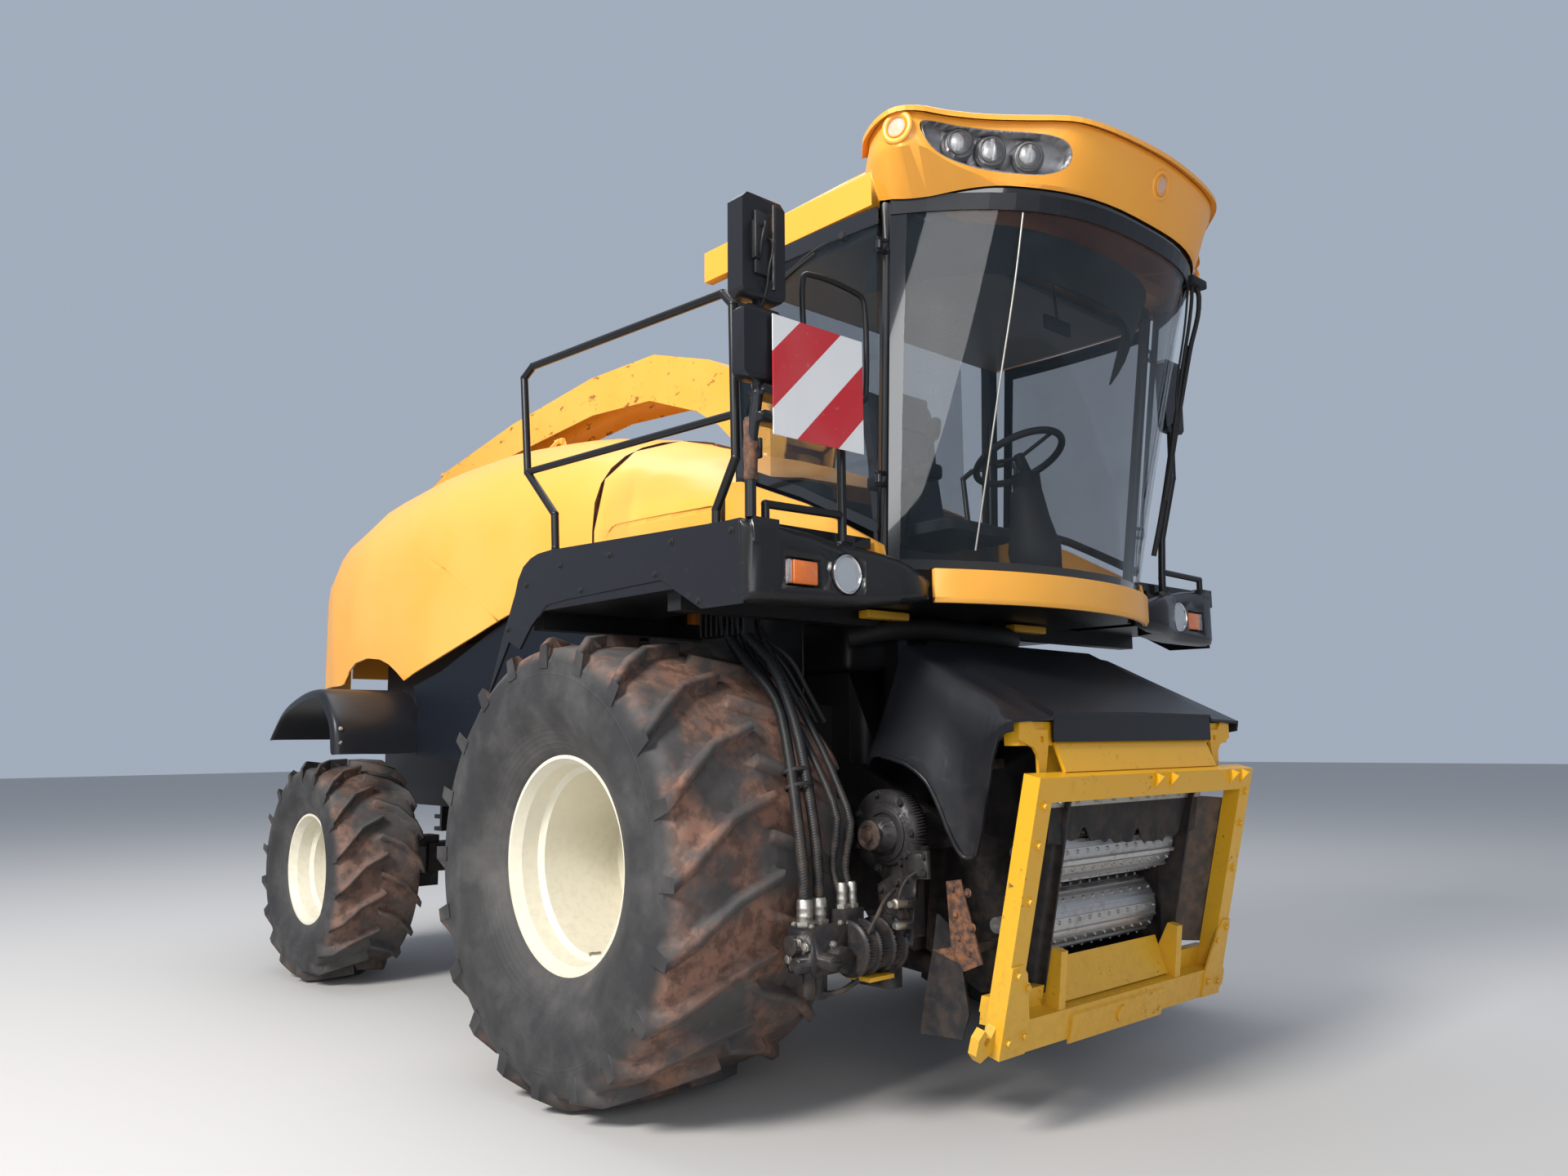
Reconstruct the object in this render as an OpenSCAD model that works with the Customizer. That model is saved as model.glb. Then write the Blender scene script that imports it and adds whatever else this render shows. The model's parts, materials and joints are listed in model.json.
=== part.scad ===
// Self-propelled forage harvester without its header, as it parks.
// X forward, Y to the machine's left, Z up, millimetres; the ground is z = 0.
// Inside the modules x = 0 is the front axle; axle_x centres the whole machine.

/* [Machine] */
// front axle to rear axle
wheelbase = 3215;          // [2600:5:3800]
// front axle to the tail of the hood
tail_reach = 4600;         // [4200:10:5200]
// ground to the top of the cab roof
roof_top = 3900;           // [3700:10:4200]
// front edge of the cab roof ahead of the front axle
roof_nose = 1885;          // [1800:5:1960]
// ground to the deck of the side platforms
deck_z = 2170;             // [2080:5:2260]
// half the width over the side platforms
deck_half = 1630;          // [1560:5:1700]

/* [Front wheels] */
// outer radius of the front tyres over the lugs
front_r = 925;             // [850:5:980]
// width of the front tyres
front_w = 900;             // [700:10:920]
// middle of a front tyre from the centre line
front_y = 1298;            // [1260:2:1360]
// radius of the front rim's flange
front_rim_r = 432;         // [380:2:480]
// lugs on each side of a front tyre
front_lugs = 20;           // [14:1:26]

/* [Rear wheels] */
// outer radius of the rear tyres over the lugs
rear_r = 660;              // [600:5:700]
// width of the rear tyres
rear_w = 540;              // [440:10:560]
// middle of a rear tyre from the centre line
rear_y = 1216;             // [1190:2:1260]
// radius of the rear rim's flange
rear_rim_r = 330;          // [280:2:360]
// lugs on each side of a rear tyre
rear_lugs = 18;            // [12:1:24]
// kingpin from the centre line
kingpin_y = 800;           // [760:5:840]
// kingpin diameter
kingpin_d = 70;            // [50:1:90]

/* [Chassis] */
// outer face of the frame rails from the centre line
rail_y = 370;              // [330:5:390]
// top of the frame rails
rail_top = 1300;           // [1260:5:1340]
// height of the frame rails
rail_h = 240;              // [180:5:300]
// wall of the frame rails and brackets
rail_t = 60;               // [30:2:80]
// half the width of the hood
hood_half = 1030;          // [960:5:1080]
// wall of the hood panels
hood_t = 12;               // [6:1:20]
// top of the hood at its highest point
hood_top = 3300;           // [3200:10:3340]
// joint between the front body and the side hoods
seam_x = -750;             // [-800:5:-700]
// half the width of the fixed strip between the side hoods
spine_half = 420;          // [380:5:460]

/* [Cab] */
// half the width of the cab at its belt
cab_half = 920;            // [880:5:940]
// half the width of the cab under the roof
cab_half_top = 1000;       // [960:5:1030]
// windscreen's middle ahead of the axle
cab_nose = 1400;           // [1370:5:1430]
// front posts ahead of the axle, at the belt
post_x = 1110;             // [1080:5:1140]
// back wall of the cab ahead of the axle
cab_back = 220;            // [200:5:280]
// how far the front posts lean forward up to the roof
post_lean = 125;           // [60:5:160]
// thickness of the cab glass
glass_t = 10;              // [6:1:16]

/* [Feeder] */
// pivot of the feed housing ahead of the axle
pivot_x = 1020;            // [1010:2:1040]
// pivot of the feed housing above the ground
pivot_z = 1050;            // [1030:2:1070]
// diameter of the pivot pins
pivot_d = 90;              // [60:2:110]
// half the width between the feed housing's side plates
throat_half = 450;         // [400:5:480]
// diameter of the upper feed roll's drum
upper_roll_d = 230;        // [180:2:240]
// diameter of the lower feed roll's drum
lower_roll_d = 250;        // [200:2:256]
// diameter of the feed rolls' shafts
roll_shaft_d = 60;         // [40:2:80]
// bars on the upper feed roll
roll_bars = 10;            // [6:1:14]
// half the width of the header frame
frame_half = 790;          // [760:5:820]
// width of the header frame's bars
frame_bar = 90;            // [70:2:110]
// depth of the header frame's bars
frame_deep = 70;           // [50:2:90]
// lean of the header frame from upright, degrees
frame_lean = 13;           // [8:0.5:16]

/* [Spout] */
// turntable's centre behind the front axle
turn_x = -480;             // [-520:5:-460]
// radius of the turntable's throat
turn_r = 230;              // [200:5:250]
// width of the spout
spout_w = 320;             // [260:5:340]
// wall of the spout's sheets
spout_t = 10;              // [6:1:14]
// lift pivot above the ground
spout_pivot_z = 3040;      // [3020:5:3060]

/* [Lift cylinders] */
// bore side tube diameter of the lift cylinders
lift_d = 110;              // [80:2:130]
// rod diameter of the lift cylinders
lift_rod_d = 55;           // [40:1:70]
// lift cylinder from the centre line
lift_y = 330;              // [300:5:380]

/* [Hidden] */
$fn = 48;

gap = 0.3;                                   // between curved faces that touch
rear_x = -wheelbase;                         // rear axle
foot_x = 1400; foot_z = 310;                 // lower edge of the header frame
frame_h = 1000;                              // height of the header frame along its lean
front_reach = max(roof_nose, foot_x + frame_h*sin(frame_lean) + frame_deep*cos(frame_lean));
axle_x = (tail_reach - front_reach)/2;       // front axle from the middle of the machine
belt_z = 2145;                               // foot of the front posts
eave_z = 3490;                               // cab frame under the roof
nose_lean = roof_nose - cab_nose - 135;       // the windscreen leans forward, up to behind the visor
rail_low = rail_top - rail_h;
yellow = [0.95, 0.68, 0.10]; black = [0.08, 0.08, 0.09]; navy = [0.10, 0.13, 0.18];
steel = [0.55, 0.55, 0.55]; cream = [0.93, 0.92, 0.86]; dark = [0.14, 0.14, 0.15];

// helpers
module at_axle() translate([axle_x, 0, 0]) children();
module both() { children(); mirror([0, 1, 0]) children(); }
// round bar from a to b
module bar(a, b, d) {
  v = b - a; l = norm(v);
  translate(a) rotate([0, acos(v[2]/l), atan2(v[1], v[0])]) cylinder(d = d, h = l);
}
// bent tube through the points
module tube(p, d) {
  for (i = [0:len(p)-2]) bar(p[i], p[i+1], d);
  for (i = [1:len(p)-2]) translate(p[i]) sphere(d = d*1.05, $fn = 24);
}
// square bar from a to b, w across and t deep
module beam(a, b, w, t) {
  v = b - a; l = norm(v);
  translate(a) rotate([0, acos(v[2]/l), atan2(v[1], v[0])]) translate([-t/2, -w/2, 0]) cube([t, w, l]);
}
module box(x0, x1, y0, y1, z0, z1) translate([x0, y0, z0]) cube([x1 - x0, y1 - y0, z1 - z0]);
// plate drawn in side view (x, z), from y0 to y1
module side_plate(p, y0, y1) translate([0, y1, 0]) rotate([90, 0, 0]) linear_extrude(y1 - y0) polygon(p);
// cylinder along Y from y0 to y1
module ycyl(x, z, d, y0, y1) translate([x, y1, z]) rotate([90, 0, 0]) cylinder(d = d, h = y1 - y0);
// closed sheet between two grids of points, outer a and inner b
module skin(a, b) {
  n = len(a); m = len(a[0]);
  pts = concat([for (r = a) for (q = r) q], [for (r = b) for (q = r) q]);
  o = n*m;
  f = concat(
    [for (i = [0:n-2]) for (j = [0:m-2]) each [[i*m+j, (i+1)*m+j, (i+1)*m+j+1], [i*m+j, (i+1)*m+j+1,
      i*m+j+1]]],
    [for (i = [0:n-2]) for (j = [0:m-2]) each [[o+i*m+j, o+(i+1)*m+j+1, o+(i+1)*m+j], [o+i*m+j,
      o+i*m+j+1, o+(i+1)*m+j+1]]],
    [for (j = [0:m-2]) each [[j, j+1, o+j+1], [j, o+j+1, o+j],
      [(n-1)*m+j, o+(n-1)*m+j+1, (n-1)*m+j+1], [(n-1)*m+j, o+(n-1)*m+j, o+(n-1)*m+j+1]]],
    [for (i = [0:n-2]) each [[i*m, o+(i+1)*m, (i+1)*m], [i*m, o+i*m, o+(i+1)*m],
      [i*m+m-1, (i+1)*m+m-1, o+(i+1)*m+m-1], [i*m+m-1, o+(i+1)*m+m-1, o+i*m+m-1]]]);
  solid(pts, f);
}
// polyhedron whose faces are turned outwards, whichever way the points run
function six_volumes(p, f, i = 0, s = 0) = i == len(f) ? s
  : six_volumes(p, f, i + 1, s + p[f[i][0]]*cross(p[f[i][1]], p[f[i][2]]));
module solid(p, f) polyhedron(points = p, convexity = 6,
  faces = six_volumes(p, f) < 0 ? f : [for (t = f) [t[2], t[1], t[0]]]);
// value from a short table of [key, value] pairs
function at(t, k) = lookup(k, t);
// smooth curve through the rows of a table, at row number s
function curve(t, s) = let(n = len(t) - 1, i = min(floor(s), n - 1), f = s - i,
  a = t[max(i - 1, 0)], b = t[i], c = t[i + 1], d = t[min(i + 2, n)])
  b + (c - a)*f/2 + (2*a - 5*b + 4*c - d)*f*f/2 + (3*b - a - 3*c + d)*f*f*f/2;
// table and its mirror image in y, from the right side to the left side
function both_sides(t) = concat([for (q = t) [q[0], -q[1], q[2]]], [for (i = [len(t)-2:-1:0]) t[i]]);
// closed smooth loop through the points, k steps from each to the next
function loop(t, k) = let(n = len(t)) [for (i = [0:n-1]) for (j = [0:k-1]) let(f = j/k,
  a = t[(i + n - 1)%n], b = t[i], c = t[(i + 1)%n], d = t[(i + 2)%n])
  b + (c - a)*f/2 + (2*a - 5*b + 4*c - d)*f*f/2 + (3*b - a - 3*c + d)*f*f*f/2];

// wheels
module tyre(r, w, rim, n, side) {
  base = r - 52; h = w*rim_share;             // half the width between the rim's flanges
  union() {
    rotate([90, 0, 0]) rotate_extrude($fn = 72) polygon([[rim + bead, -h], [rim + 30, -w*0.40],
      [rim + (base - rim)*0.45, -w*0.5], [base - 70, -w*0.485], [base - 14, -w*0.44], [base, -w*0.36],
      [base + 8, 0], [base, w*0.36], [base - 14, w*0.44], [base - 70, w*0.485],
      [rim + (base - rim)*0.45, w*0.5], [rim + 30, w*0.40], [rim + bead, h], [rim + bead, h - 18],
      [rim - 22 + bead, h - 40], [rim - 22 + bead, 40 - h], [rim + bead, 18 - h]]);
    for (s = [-1, 1]) for (i = [0:n-1])
      rotate([0, (i + (s > 0 ? 0.5 : 0))*360/n, 0]) lug(r, base, w, s*1, side, 360/n);
  }
}
// one curved lug, from the middle of the tread to its square shoulder end
module lug(r, base, w, s, side, pitch) {
  st = [[0.00, 0, 0.020, 0], [0.22, 0.30, 0.022, 2], [0.40, 0.80, 0.026, 10], [0.492, 1.12, 0.030, 56]];
  top = [for (q = st) r - q[3]];
  low = [base - 6, base - 10, base - 18, base - 95];
  p = [for (k = [0:3]) let(y = s*(st[k][0] == 0 ? -0.02 : st[k][0])*w, a = side*st[k][1]*pitch*0.9,
      h = st[k][2]*57.3) each [
      [low[k]*sin(a - h*1.35), y, low[k]*cos(a - h*1.35)], [low[k]*sin(a + h*1.35), y,
        low[k]*cos(a + h*1.35)],
      [top[k]*sin(a + h), y, top[k]*cos(a + h)], [top[k]*sin(a - h), y, top[k]*cos(a - h)]]];
  f = concat([for (k = [0:2]) for (j = [0:3]) let(a = 4*k + j, b = 4*k + (j+1)%4) each
      [[a, b, b + 4], [a, b + 4, a + 4]]], [[0, 3, 2], [0, 2, 1], [12, 13, 14], [12, 14, 15]]);
  solid(p, f);
}
// dished rim, out is the side of the dish, disc lies inboard; bolts on a circle
module rim(r, w, hub_y, hub_d, bolts, circle_r) {
  half = w*rim_share;
  rotate([90, 0, 0]) rotate_extrude($fn = 72) polygon([[r, half], [r, half - 18], [r - 22, half - 40],
    [r - 30, half - 110], [r - 52, half - 130], [r - 52, -half + 130], [r - 30, -half + 110],
    [r - 22, -half + 40], [r, -half + 18], [r, -half], [r - 14, -half], [r - 36, -half + 44],
    [r - 44, -half + 116], [r - 66, -half + 136], [r - 66, half - 136], [r - 44, half - 116],
    [r - 36, half - 44], [r - 14, half]]);
  rotate([90, 0, 0]) rotate_extrude($fn = 72) polygon([[hub_d/2, -hub_y - 9], [circle_r + 35, -hub_y - 9],
    [r - 110, -hub_y - 79], [r - 60, -hub_y - 84], [r - 60, -hub_y - 66], [r - 104, -hub_y - 60],
    [circle_r + 35, -hub_y + 9], [hub_d/2, -hub_y + 9]]);
  for (i = [0:bolts-1]) rotate([0, i*360/bolts, 0]) translate([circle_r, hub_y + 33, 0]) rotate([90, 0, 0])
    cylinder(d = 32, h = 26, $fn = 6);
}
module front_wheel_at(s) at_axle() translate([0, s*front_y, front_r]) children();
module rear_wheel_at(s) at_axle() translate([rear_x, s*rear_y, rear_r]) children();
bead = 0.8;                                   // from the rim to the tyre's bead
rim_share = 0.37;                            // half rim width over tyre width
front_disc = -(front_w*rim_share - 70);       // hub face of a front rim, towards the chassis
rear_disc = -(rear_w*rim_share - 70);
module tyre_front(s) color(black) front_wheel_at(s) tyre(front_r, front_w, front_rim_r, front_lugs, 1);
module tyre_rear(s) color(black) rear_wheel_at(s) tyre(rear_r, rear_w, rear_rim_r, rear_lugs, 1);
module rim_front(s) color(cream) front_wheel_at(s) mirror([0, s < 0 ? 1 : 0, 0])
  rim(front_rim_r, front_w, front_disc, 281, 10, 168);
module rim_rear(s) color(cream) rear_wheel_at(s) mirror([0, s < 0 ? 1 : 0, 0])
  rim(rear_rim_r, rear_w, rear_disc, 221, 10, 135);
module tyre_front_left() tyre_front(1);
module tyre_front_right() tyre_front(-1);
module tyre_rear_left() tyre_rear(1);
module tyre_rear_right() tyre_rear(-1);
module rim_front_left() rim_front(1);
module rim_front_right() rim_front(-1);
module rim_rear_left() rim_rear(1);
module rim_rear_right() rim_rear(-1);

// axles
front_face = front_y + front_disc - 9;        // hub flange face that the front disc sits on
rear_face = rear_y + rear_disc - 9;
lift_x = 60; lift_z = 540;                    // barrel pins of the lift cylinders
module front_axle() color(dark) at_axle() union() {
  // banjo, tubes and final drives
  ycyl(0, front_r, 190, -front_face + 60, front_face - 60);
  ycyl(0, front_r, 340, -150, 150);
  both() ycyl(0, front_r, 400, front_face - 170, front_face - 22);
  both() ycyl(0, front_r, 380, front_face - 22, front_face - gap);
  both() ycyl(0, front_r, 280, front_face - 24, front_face + 60);
  both() box(-110, 110, rail_y - rail_t, rail_y, front_r, rail_low);
  // ears and pins of the lift cylinders
  both() for (y = [lift_y - 48, lift_y + 24]) side_plate([[-60, front_r - 40], [70, front_r - 40],
    [lift_x + 45, lift_z],
    [lift_x + 30, lift_z - 40], [lift_x - 30, lift_z - 40], [lift_x - 50, lift_z]], y, y + 24);
  both() ycyl(lift_x, lift_z, lift_pin, lift_y - 47, lift_y + 47);
}
lift_pin = 50;

pin_low = rear_r - 150; pin_high = rear_r + 150;
module rear_axle() color(dark) at_axle() translate([rear_x, 0, 0]) difference() {
  union() {
    box(-90, 90, -kingpin_y + 120, kingpin_y - 120, rear_r - 70, rear_r + 110);
    both() for (z = [pin_low - 10, pin_high - 60]) hull_free_eye(z);
    both() box(-70, 70, kingpin_y - 200, kingpin_y - 110, pin_low - 10, pin_high + 10);
    // swing bracket up to the frame
    box(-100, 100, -160, 160, rear_r + 105, rail_low);
    box(-120, 120, -rail_y + rail_t, rail_y - rail_t, rail_low - 60, rail_low + 60);
  }
  both() translate([0, kingpin_y, pin_low - 40]) cylinder(d = kingpin_d + 2*gap, h = 400);
}
// fork eye of the axle at height z, 70 high
module hull_free_eye(z) {
  translate([0, kingpin_y, z]) cylinder(d = 150, h = 70);
  box(-70, 70, kingpin_y - 150, kingpin_y, z, z + 70);
}
module knuckle(s) color(dark) at_axle() translate([rear_x, 0, 0]) mirror([0, s < 0 ? 1 : 0, 0]) union() {
  translate([0, kingpin_y, pin_low - 14]) cylinder(d = kingpin_d, h = pin_high - pin_low + 28);
  translate([0, kingpin_y, pin_low + 66]) cylinder(d = 140, h = pin_high - pin_low - 132);
  ycyl(0, rear_r, 120, kingpin_y, rear_face - 40);
  ycyl(0, rear_r, 320, rear_face - 50, rear_face - gap);
  ycyl(0, rear_r, 220, rear_face - 51, rear_face + 50);
}
module knuckle_left() knuckle(1);
module knuckle_right() knuckle(-1);

// frame and drive
hitch_x = -4180; hitch_bore = 42;
arm_y = throat_half + 90;                     // inner face of the pivot arms
skirt_y = hood_half - 60; fender_y = 950;     // inner faces of skirts and rear fenders
beam_top = 1960;                              // what the platforms and the cab floor stand on
module main_frame() color(dark) at_axle() difference() {
  union() {
    both() box(hitch_x, 680, rail_y - rail_t, rail_y, rail_low, rail_top);
    for (x = [hitch_x, -2350, -1300, -420]) box(x, x + 120, -rail_y, rail_y, rail_low + 40, rail_top - 40);
    // arms out to the feed housing's pivots
    both() side_plate([[520, rail_low + 10], [520, rail_top], [640, rail_top], [pivot_x, pivot_z + 75],
      [pivot_x + 75, pivot_z], [pivot_x, pivot_z - 75], [640, rail_low - 60]], arm_y, arm_y + 40);
    both() box(520, 640, rail_y - rail_t, arm_y + 40, rail_low + 40, rail_top - 40);
    // hitch jaw at the tail
    box(hitch_x - 120, hitch_x - gap, -70, 70, 760, 790);
    box(hitch_x - 120, hitch_x - gap, -70, 70, 850, 880);
    box(hitch_x - 30, hitch_x - gap, -70, 70, 760, rail_top - 60);
    // posts and cross arms under the platforms and the cab
    both() for (x = [-360, 600]) {
      box(x, x + 80, rail_y - rail_t, rail_y, rail_top + gap, beam_top);
      box(x, x + 80, rail_y - rail_t, deck_half - 60, beam_top - 70, beam_top);
    }
    both() box(-1700, -1620, rail_y + gap, skirt_y, rail_top - 60, rail_top);
    both() box(-3500, -3420, rail_y - 60, fender_y, rail_top + 60, rail_top + 120);
    both() box(-3500, -3420, rail_y - 60, rail_y, rail_top + gap, rail_top + 120);
  }
  both() ycyl(pivot_x, pivot_z, pivot_d + 2*gap, throat_half + 60, throat_half + 160);
  translate([hitch_x - 70, 0, 700]) cylinder(d = hitch_bore, h = 300);
}
module engine() color(dark) at_axle() box(-3300, -1750, -rail_y + 10, rail_y - 10, rail_top, 2450);

module chopper_housing() color(dark) at_axle() difference() {
  union() {
    box(-250, 590, -rail_y + rail_t, rail_y - rail_t, 1110, 1700);
    box(-250, 510, -throat_half - 60, throat_half + 60, rail_top, 1700);
    // duct up to the turntable
    side_plate([[-250, 1400], [250, 1700], [turn_x + turn_r, 2700], [turn_x - turn_r, 2700]], -200, 200);
    translate([turn_x, 0, ring_z - 60]) cylinder(r = turn_r + 60, h = 60);
  }
  translate([turn_x, 0, 2600]) cylinder(r = turn_r - 20, h = 300);
}
ring_z = 2750;                                // seat of the turntable

// platforms and lamps
pod_foot = 2170;                              // seats of the rails and mirror arms on the pods
module platforms() color(black) at_axle() both() union() {
  // deck
  box(-300, 1080, hood_half + 20, deck_half - 6, deck_z - 40, deck_z);
  box(cab_back, 1080, cab_half + 45, hood_half + 21, deck_z - 40, deck_z);
  // outer panel with its arch
  side_plate([[1080, deck_z - 5], [1100, 1870], [873, 1872], [634, beam_top + 40], [-17, beam_top + 30],
    [-163, beam_top + 22], [-286, 1900], [-377, 1808], [-469, 1846], [-655, 1595], [-627, 1649], [-527,
      1864],
    [-425, 2051], [-400, deck_z - 55], [-360, deck_z - 5], [-300, deck_z + 25], [-240, deck_z + 38],
      [-135, deck_z + 42]],
    deck_half - 12, deck_half);
  box(-380, 1080, hood_half + 20, deck_half - 6, beam_top, beam_top + 40);
  for (x = [-300, 1040]) box(x, x + 40, hood_half + 20, deck_half - 6, beam_top + 39, deck_z - 39);
  // lamp pod
  difference() {
    pod();
    translate([lamp_x, lamp_y, 2001]) rotate([0, 90, 0]) cylinder(d = 150, h = 90);
    box(turn_front - 26, turn_front + 60, turn_y - 85, turn_y + 85, 1940, 2046);
  }
  for (q = [[deck_half - 85, 1], [1150, 0]]) box(1085, 1137, q[0] - 25 - 30*q[1], q[0] + 30 + 30*q[1],
    2080, pod_foot - 40*(1 - q[1]));
}
lamp_x = 1140; lamp_y = 1189;                 // back and middle of the headlamps
turn_front = 1140; turn_y = 1390;             // turn lamps
// sections of the pod from its outer end to the snout beside the cab: y, back, front, top, bottom
pod_table = [[deck_half - 1, 1062, 1100, 2165, 1880], [deck_half - 20, 1062, 1124, 2168, 1879],
  [deck_half - 60, 1062, 1140, 2166, 1878],
  [1500, 1062, 1148, 2160, 1878], [1350, 1062, 1156, 2150, 1878], [1200, 1062, 1164, 2128, 1880], [1110,
    1062, 1190, 2112, 1886],
  [1050, 1062, 1216, 2102, 1892], [975, 1062, 1236, 2088, 1902], [955, 1152, 1240, 2083, 1906], [900,
    1152, 1242, 2068, 1912],
  [840, 1160, 1232, 2048, 1922], [790, 1168, 1214, 2032, 1930], [758, 1170, 1192, 2022, 1938]];
module pod() {
  front = function(q) let(b = q[1], f = q[2], t = q[3], l = q[4], c = min(26, (f - b)/3)) [[b + 2, q[0],
    t], [f - 1.6*c, q[0], t - 3],
    [f - 0.5*c, q[0], t - 0.6*c - 3], [f, q[0], t - 1.8*c - 6], [f, q[0], l + 1.6*c], [f - 0.4*c, q[0],
      l + 0.5*c], [f - 1.2*c, q[0], l], [b + 2, q[0], l]];
  skin([for (q = pod_table) front(q)], [for (q = pod_table) [for (p = front(q)) [q[1], q[0], p[2]]]]);
}
module lamps() color([0.9, 0.9, 0.9]) at_axle() {
  // headlamps and turn lamps of the pods
  both() translate([lamp_x, lamp_y, 2001]) rotate([0, 90, 0]) cylinder(d = 146, h = 34);
  both() box(turn_front - 26, turn_front + 8, turn_y - 80, turn_y + 80, 1945, 2041);
  // round lamps of the roof
  both() on_face(4.0, 0.3, 0) xcyl(0, 0, lamp_d, -45, -5);
  on_face(12, 0.35, 0) xcyl(0, 0, lamp_d, -45, -5);
  // lamp trays
  both() difference() {
    union() {
      intersection() {
        on_face(tray_s, 0.47, 0) tray_prism(-gap);
        visor_body(2, 75);
      }
    }
    intersection() {
      on_face(tray_s, 0.47, 0) tray_prism(-8);
      visor_body(-20, 66);
    }
  }
  both() for (q = tray_lamps) on_face(q[0], q[1], 0) rotate([0, 0, q[2]]) {
    xcyl(0, 0, 108, -70, -16);
    xcyl(0, 0, 84, -17, -8);
  }
}
tray_lamps = [[6.6, 0.40, 6], [7.55, 0.45, 4], [8.45, 0.50, 2]];
// body behind the visor's face, from depth t0 to t1
module visor_body(t0, t1) {
  rows = function(t) [for (s = [5.2:0.3:10.3]) [face_at(s, -0.12, t), face_at(s, 0.5,
    t) + 6*[lip_out(s)[0], lip_out(s)[1], 0], face_at(s, 1.08, t)]];
  skin(rows(t0), rows(t1));
}

// handrails, ladder, mirrors
rail_d = 34;
ry = deck_half - 50;                          // handrails from the centre line
module handrails() color(black) at_axle() union() {
  // front guard bars
  for (s = [-1, 1]) mirror([0, s < 0 ? 1 : 0, 0])
    tube([[1110, deck_half - 98, pod_foot], [1110, deck_half - 98, 2225], [1110,
      s < 0 ? 1150 : 1168 + gap, 2232]], rail_d - 4);
  mirror([0, 1, 0]) bar([1110, 1150, pod_foot - 40], [1110, 1150, 2520], rail_d);
  mirror([0, 1, 0]) {
    tube([[-180, ry, deck_z], [-180, ry, 2230], [-190, ry, 2379], [-423, ry, 2603], [-470, ry, 3049],
      [-394, ry, 3087],
      [940, ry, 3030], [995, ry, 2972], [1008, ry, 2401], [900, ry, 2230], [900, ry, deck_z]], rail_d);
    bar([-425, ry, 2606], [1004, ry, 2562], rail_d - 4);
  }
  tube([[-180, ry, deck_z], [-180, ry, 2230], [-190, ry, 2379], [-423, ry, 2603], [-470, ry, 3049],
    [-394, ry, 3087],
    [-100, ry, 3087], [-60, ry, 3050], [-60, ry, deck_z]], rail_d);
  // ladder behind the left front wheel: two sides, and steps bolted between them
  step_in = deck_half - 497 + gap;
  step_out = deck_half - 103 - gap;
  for (y = [deck_half - 523, deck_half - 103])
    side_plate([[-392, 2000], [-1430, 620], [-1520, 620], [-450, 2040], [-410, 2040]], y, y + 26);
  for (i = [1:5]) {
    x = -430 - 180*i;
    z = 1975 - 230*i;
    box(x - 130, x + 30, step_in, step_out, z - 14, z + 14);
  }
  box(-440, -380, step_in, step_out, 1966, 1994);
}
module mirrors() color(black) at_axle() union() {
  // right arm with its two heads and the arms of the warning board
  mirror([0, 1, 0]) {
    tube([[1110, deck_half - 30, pod_foot], [1110, deck_half - 30, 2400], [1150, deck_half - 30, 2600],
      [1160, deck_half - 30, 3280]], 40);
    mirror_head(1110, 1190, deck_half - 130, deck_half + 70, 2930, 3300);
    mirror_head(1120, 1185, deck_half - 120, deck_half + 60, 2640, 2900);
    for (z = [2500, 2590]) box(1110, board_x, 1350, deck_half - 20, z, z + 30);
  }
  // left arm, folded in beside the front post
  tube([[1110, 1150, pod_foot - 40], [1110, 1150, 2200], [1120, 1150, 2400], [1195, 1150, 2700], [1204,
    1150, 3260]], 36);
  mirror_head(1182, 1230, 1060, 1230, 2930, 3300);
}
// mirror head with chamfered edges
module mirror_head(x0, x1, y0, y1, z0, z1) {
  c = 22;
  end_plate([[y0 + c, z0], [y1 - c, z0], [y1, z0 + c], [y1, z1 - c], [y1 - c, z1], [y0 + c, z1], [y0,
    z1 - c], [y0, z0 + c]], x0, x1);
}
board_x = 1200;                               // back of the warning board
module warning_board() color([0.9, 0.9, 0.9]) at_axle() box(board_x, board_x + 4, -1575, -1125, 2450, 2880);

// cab
// plan of the cab at height z and angle step k of 0..1 from the right post to the left post
function cab_w(z) = cab_half + (cab_half_top - cab_half)*(z - belt_z)/(eave_z - belt_z);
function post_at(z) = post_x + post_lean*(z - belt_z)/(eave_z - belt_z);
function nose_at(z) = cab_nose + nose_lean*(z - belt_top)/(eave_z - belt_top);
// the plan of the windscreen is rounder at the belt and fuller under the roof
function plan_pow(z) = 2.2 + 0.6*(z - belt_top)/(eave_z - belt_top);
function screen(z, k, t) = let(u = 2*k - 1, w = cab_w(z) - 14 - t*0.6)
  [post_at(z) + 6 + (nose_at(z) - post_at(z))*(1 - pow(abs(u), plan_pow(z))) - t, u*w, z];
function belt_line(x) = at([[-200, 2560], [300, 2530], [700, 2370], [1110, 2160], [1400, 2060]], x);
module cab_glass() color([0.35, 0.45, 0.5, 0.5]) at_axle() {
  zs = [for (k = [0:5]) belt_top + (roof_low - belt_top)*k/5];
  skin([for (z = zs) [for (k = [0:screen_n]) screen(z, k/screen_n, 0)]],
       [for (z = zs) [for (k = [0:screen_n]) screen(z, k/screen_n, glass_t)]]);
  // back window
  box(cab_back, cab_back + glass_t, -700, 700, 2550, eave_z - 30);
}
belt_top = 2055; roof_low = eave_z + 40;
screen_n = 24;                                // steps across the windscreen
hinge_dir = [post_lean - 12, cab_half_top - cab_half, eave_z - belt_z];
function hinge_at(z) = [post_x - 10, cab_half + 24, belt_z] + hinge_dir*(z - belt_z)/hinge_dir[2];
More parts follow.
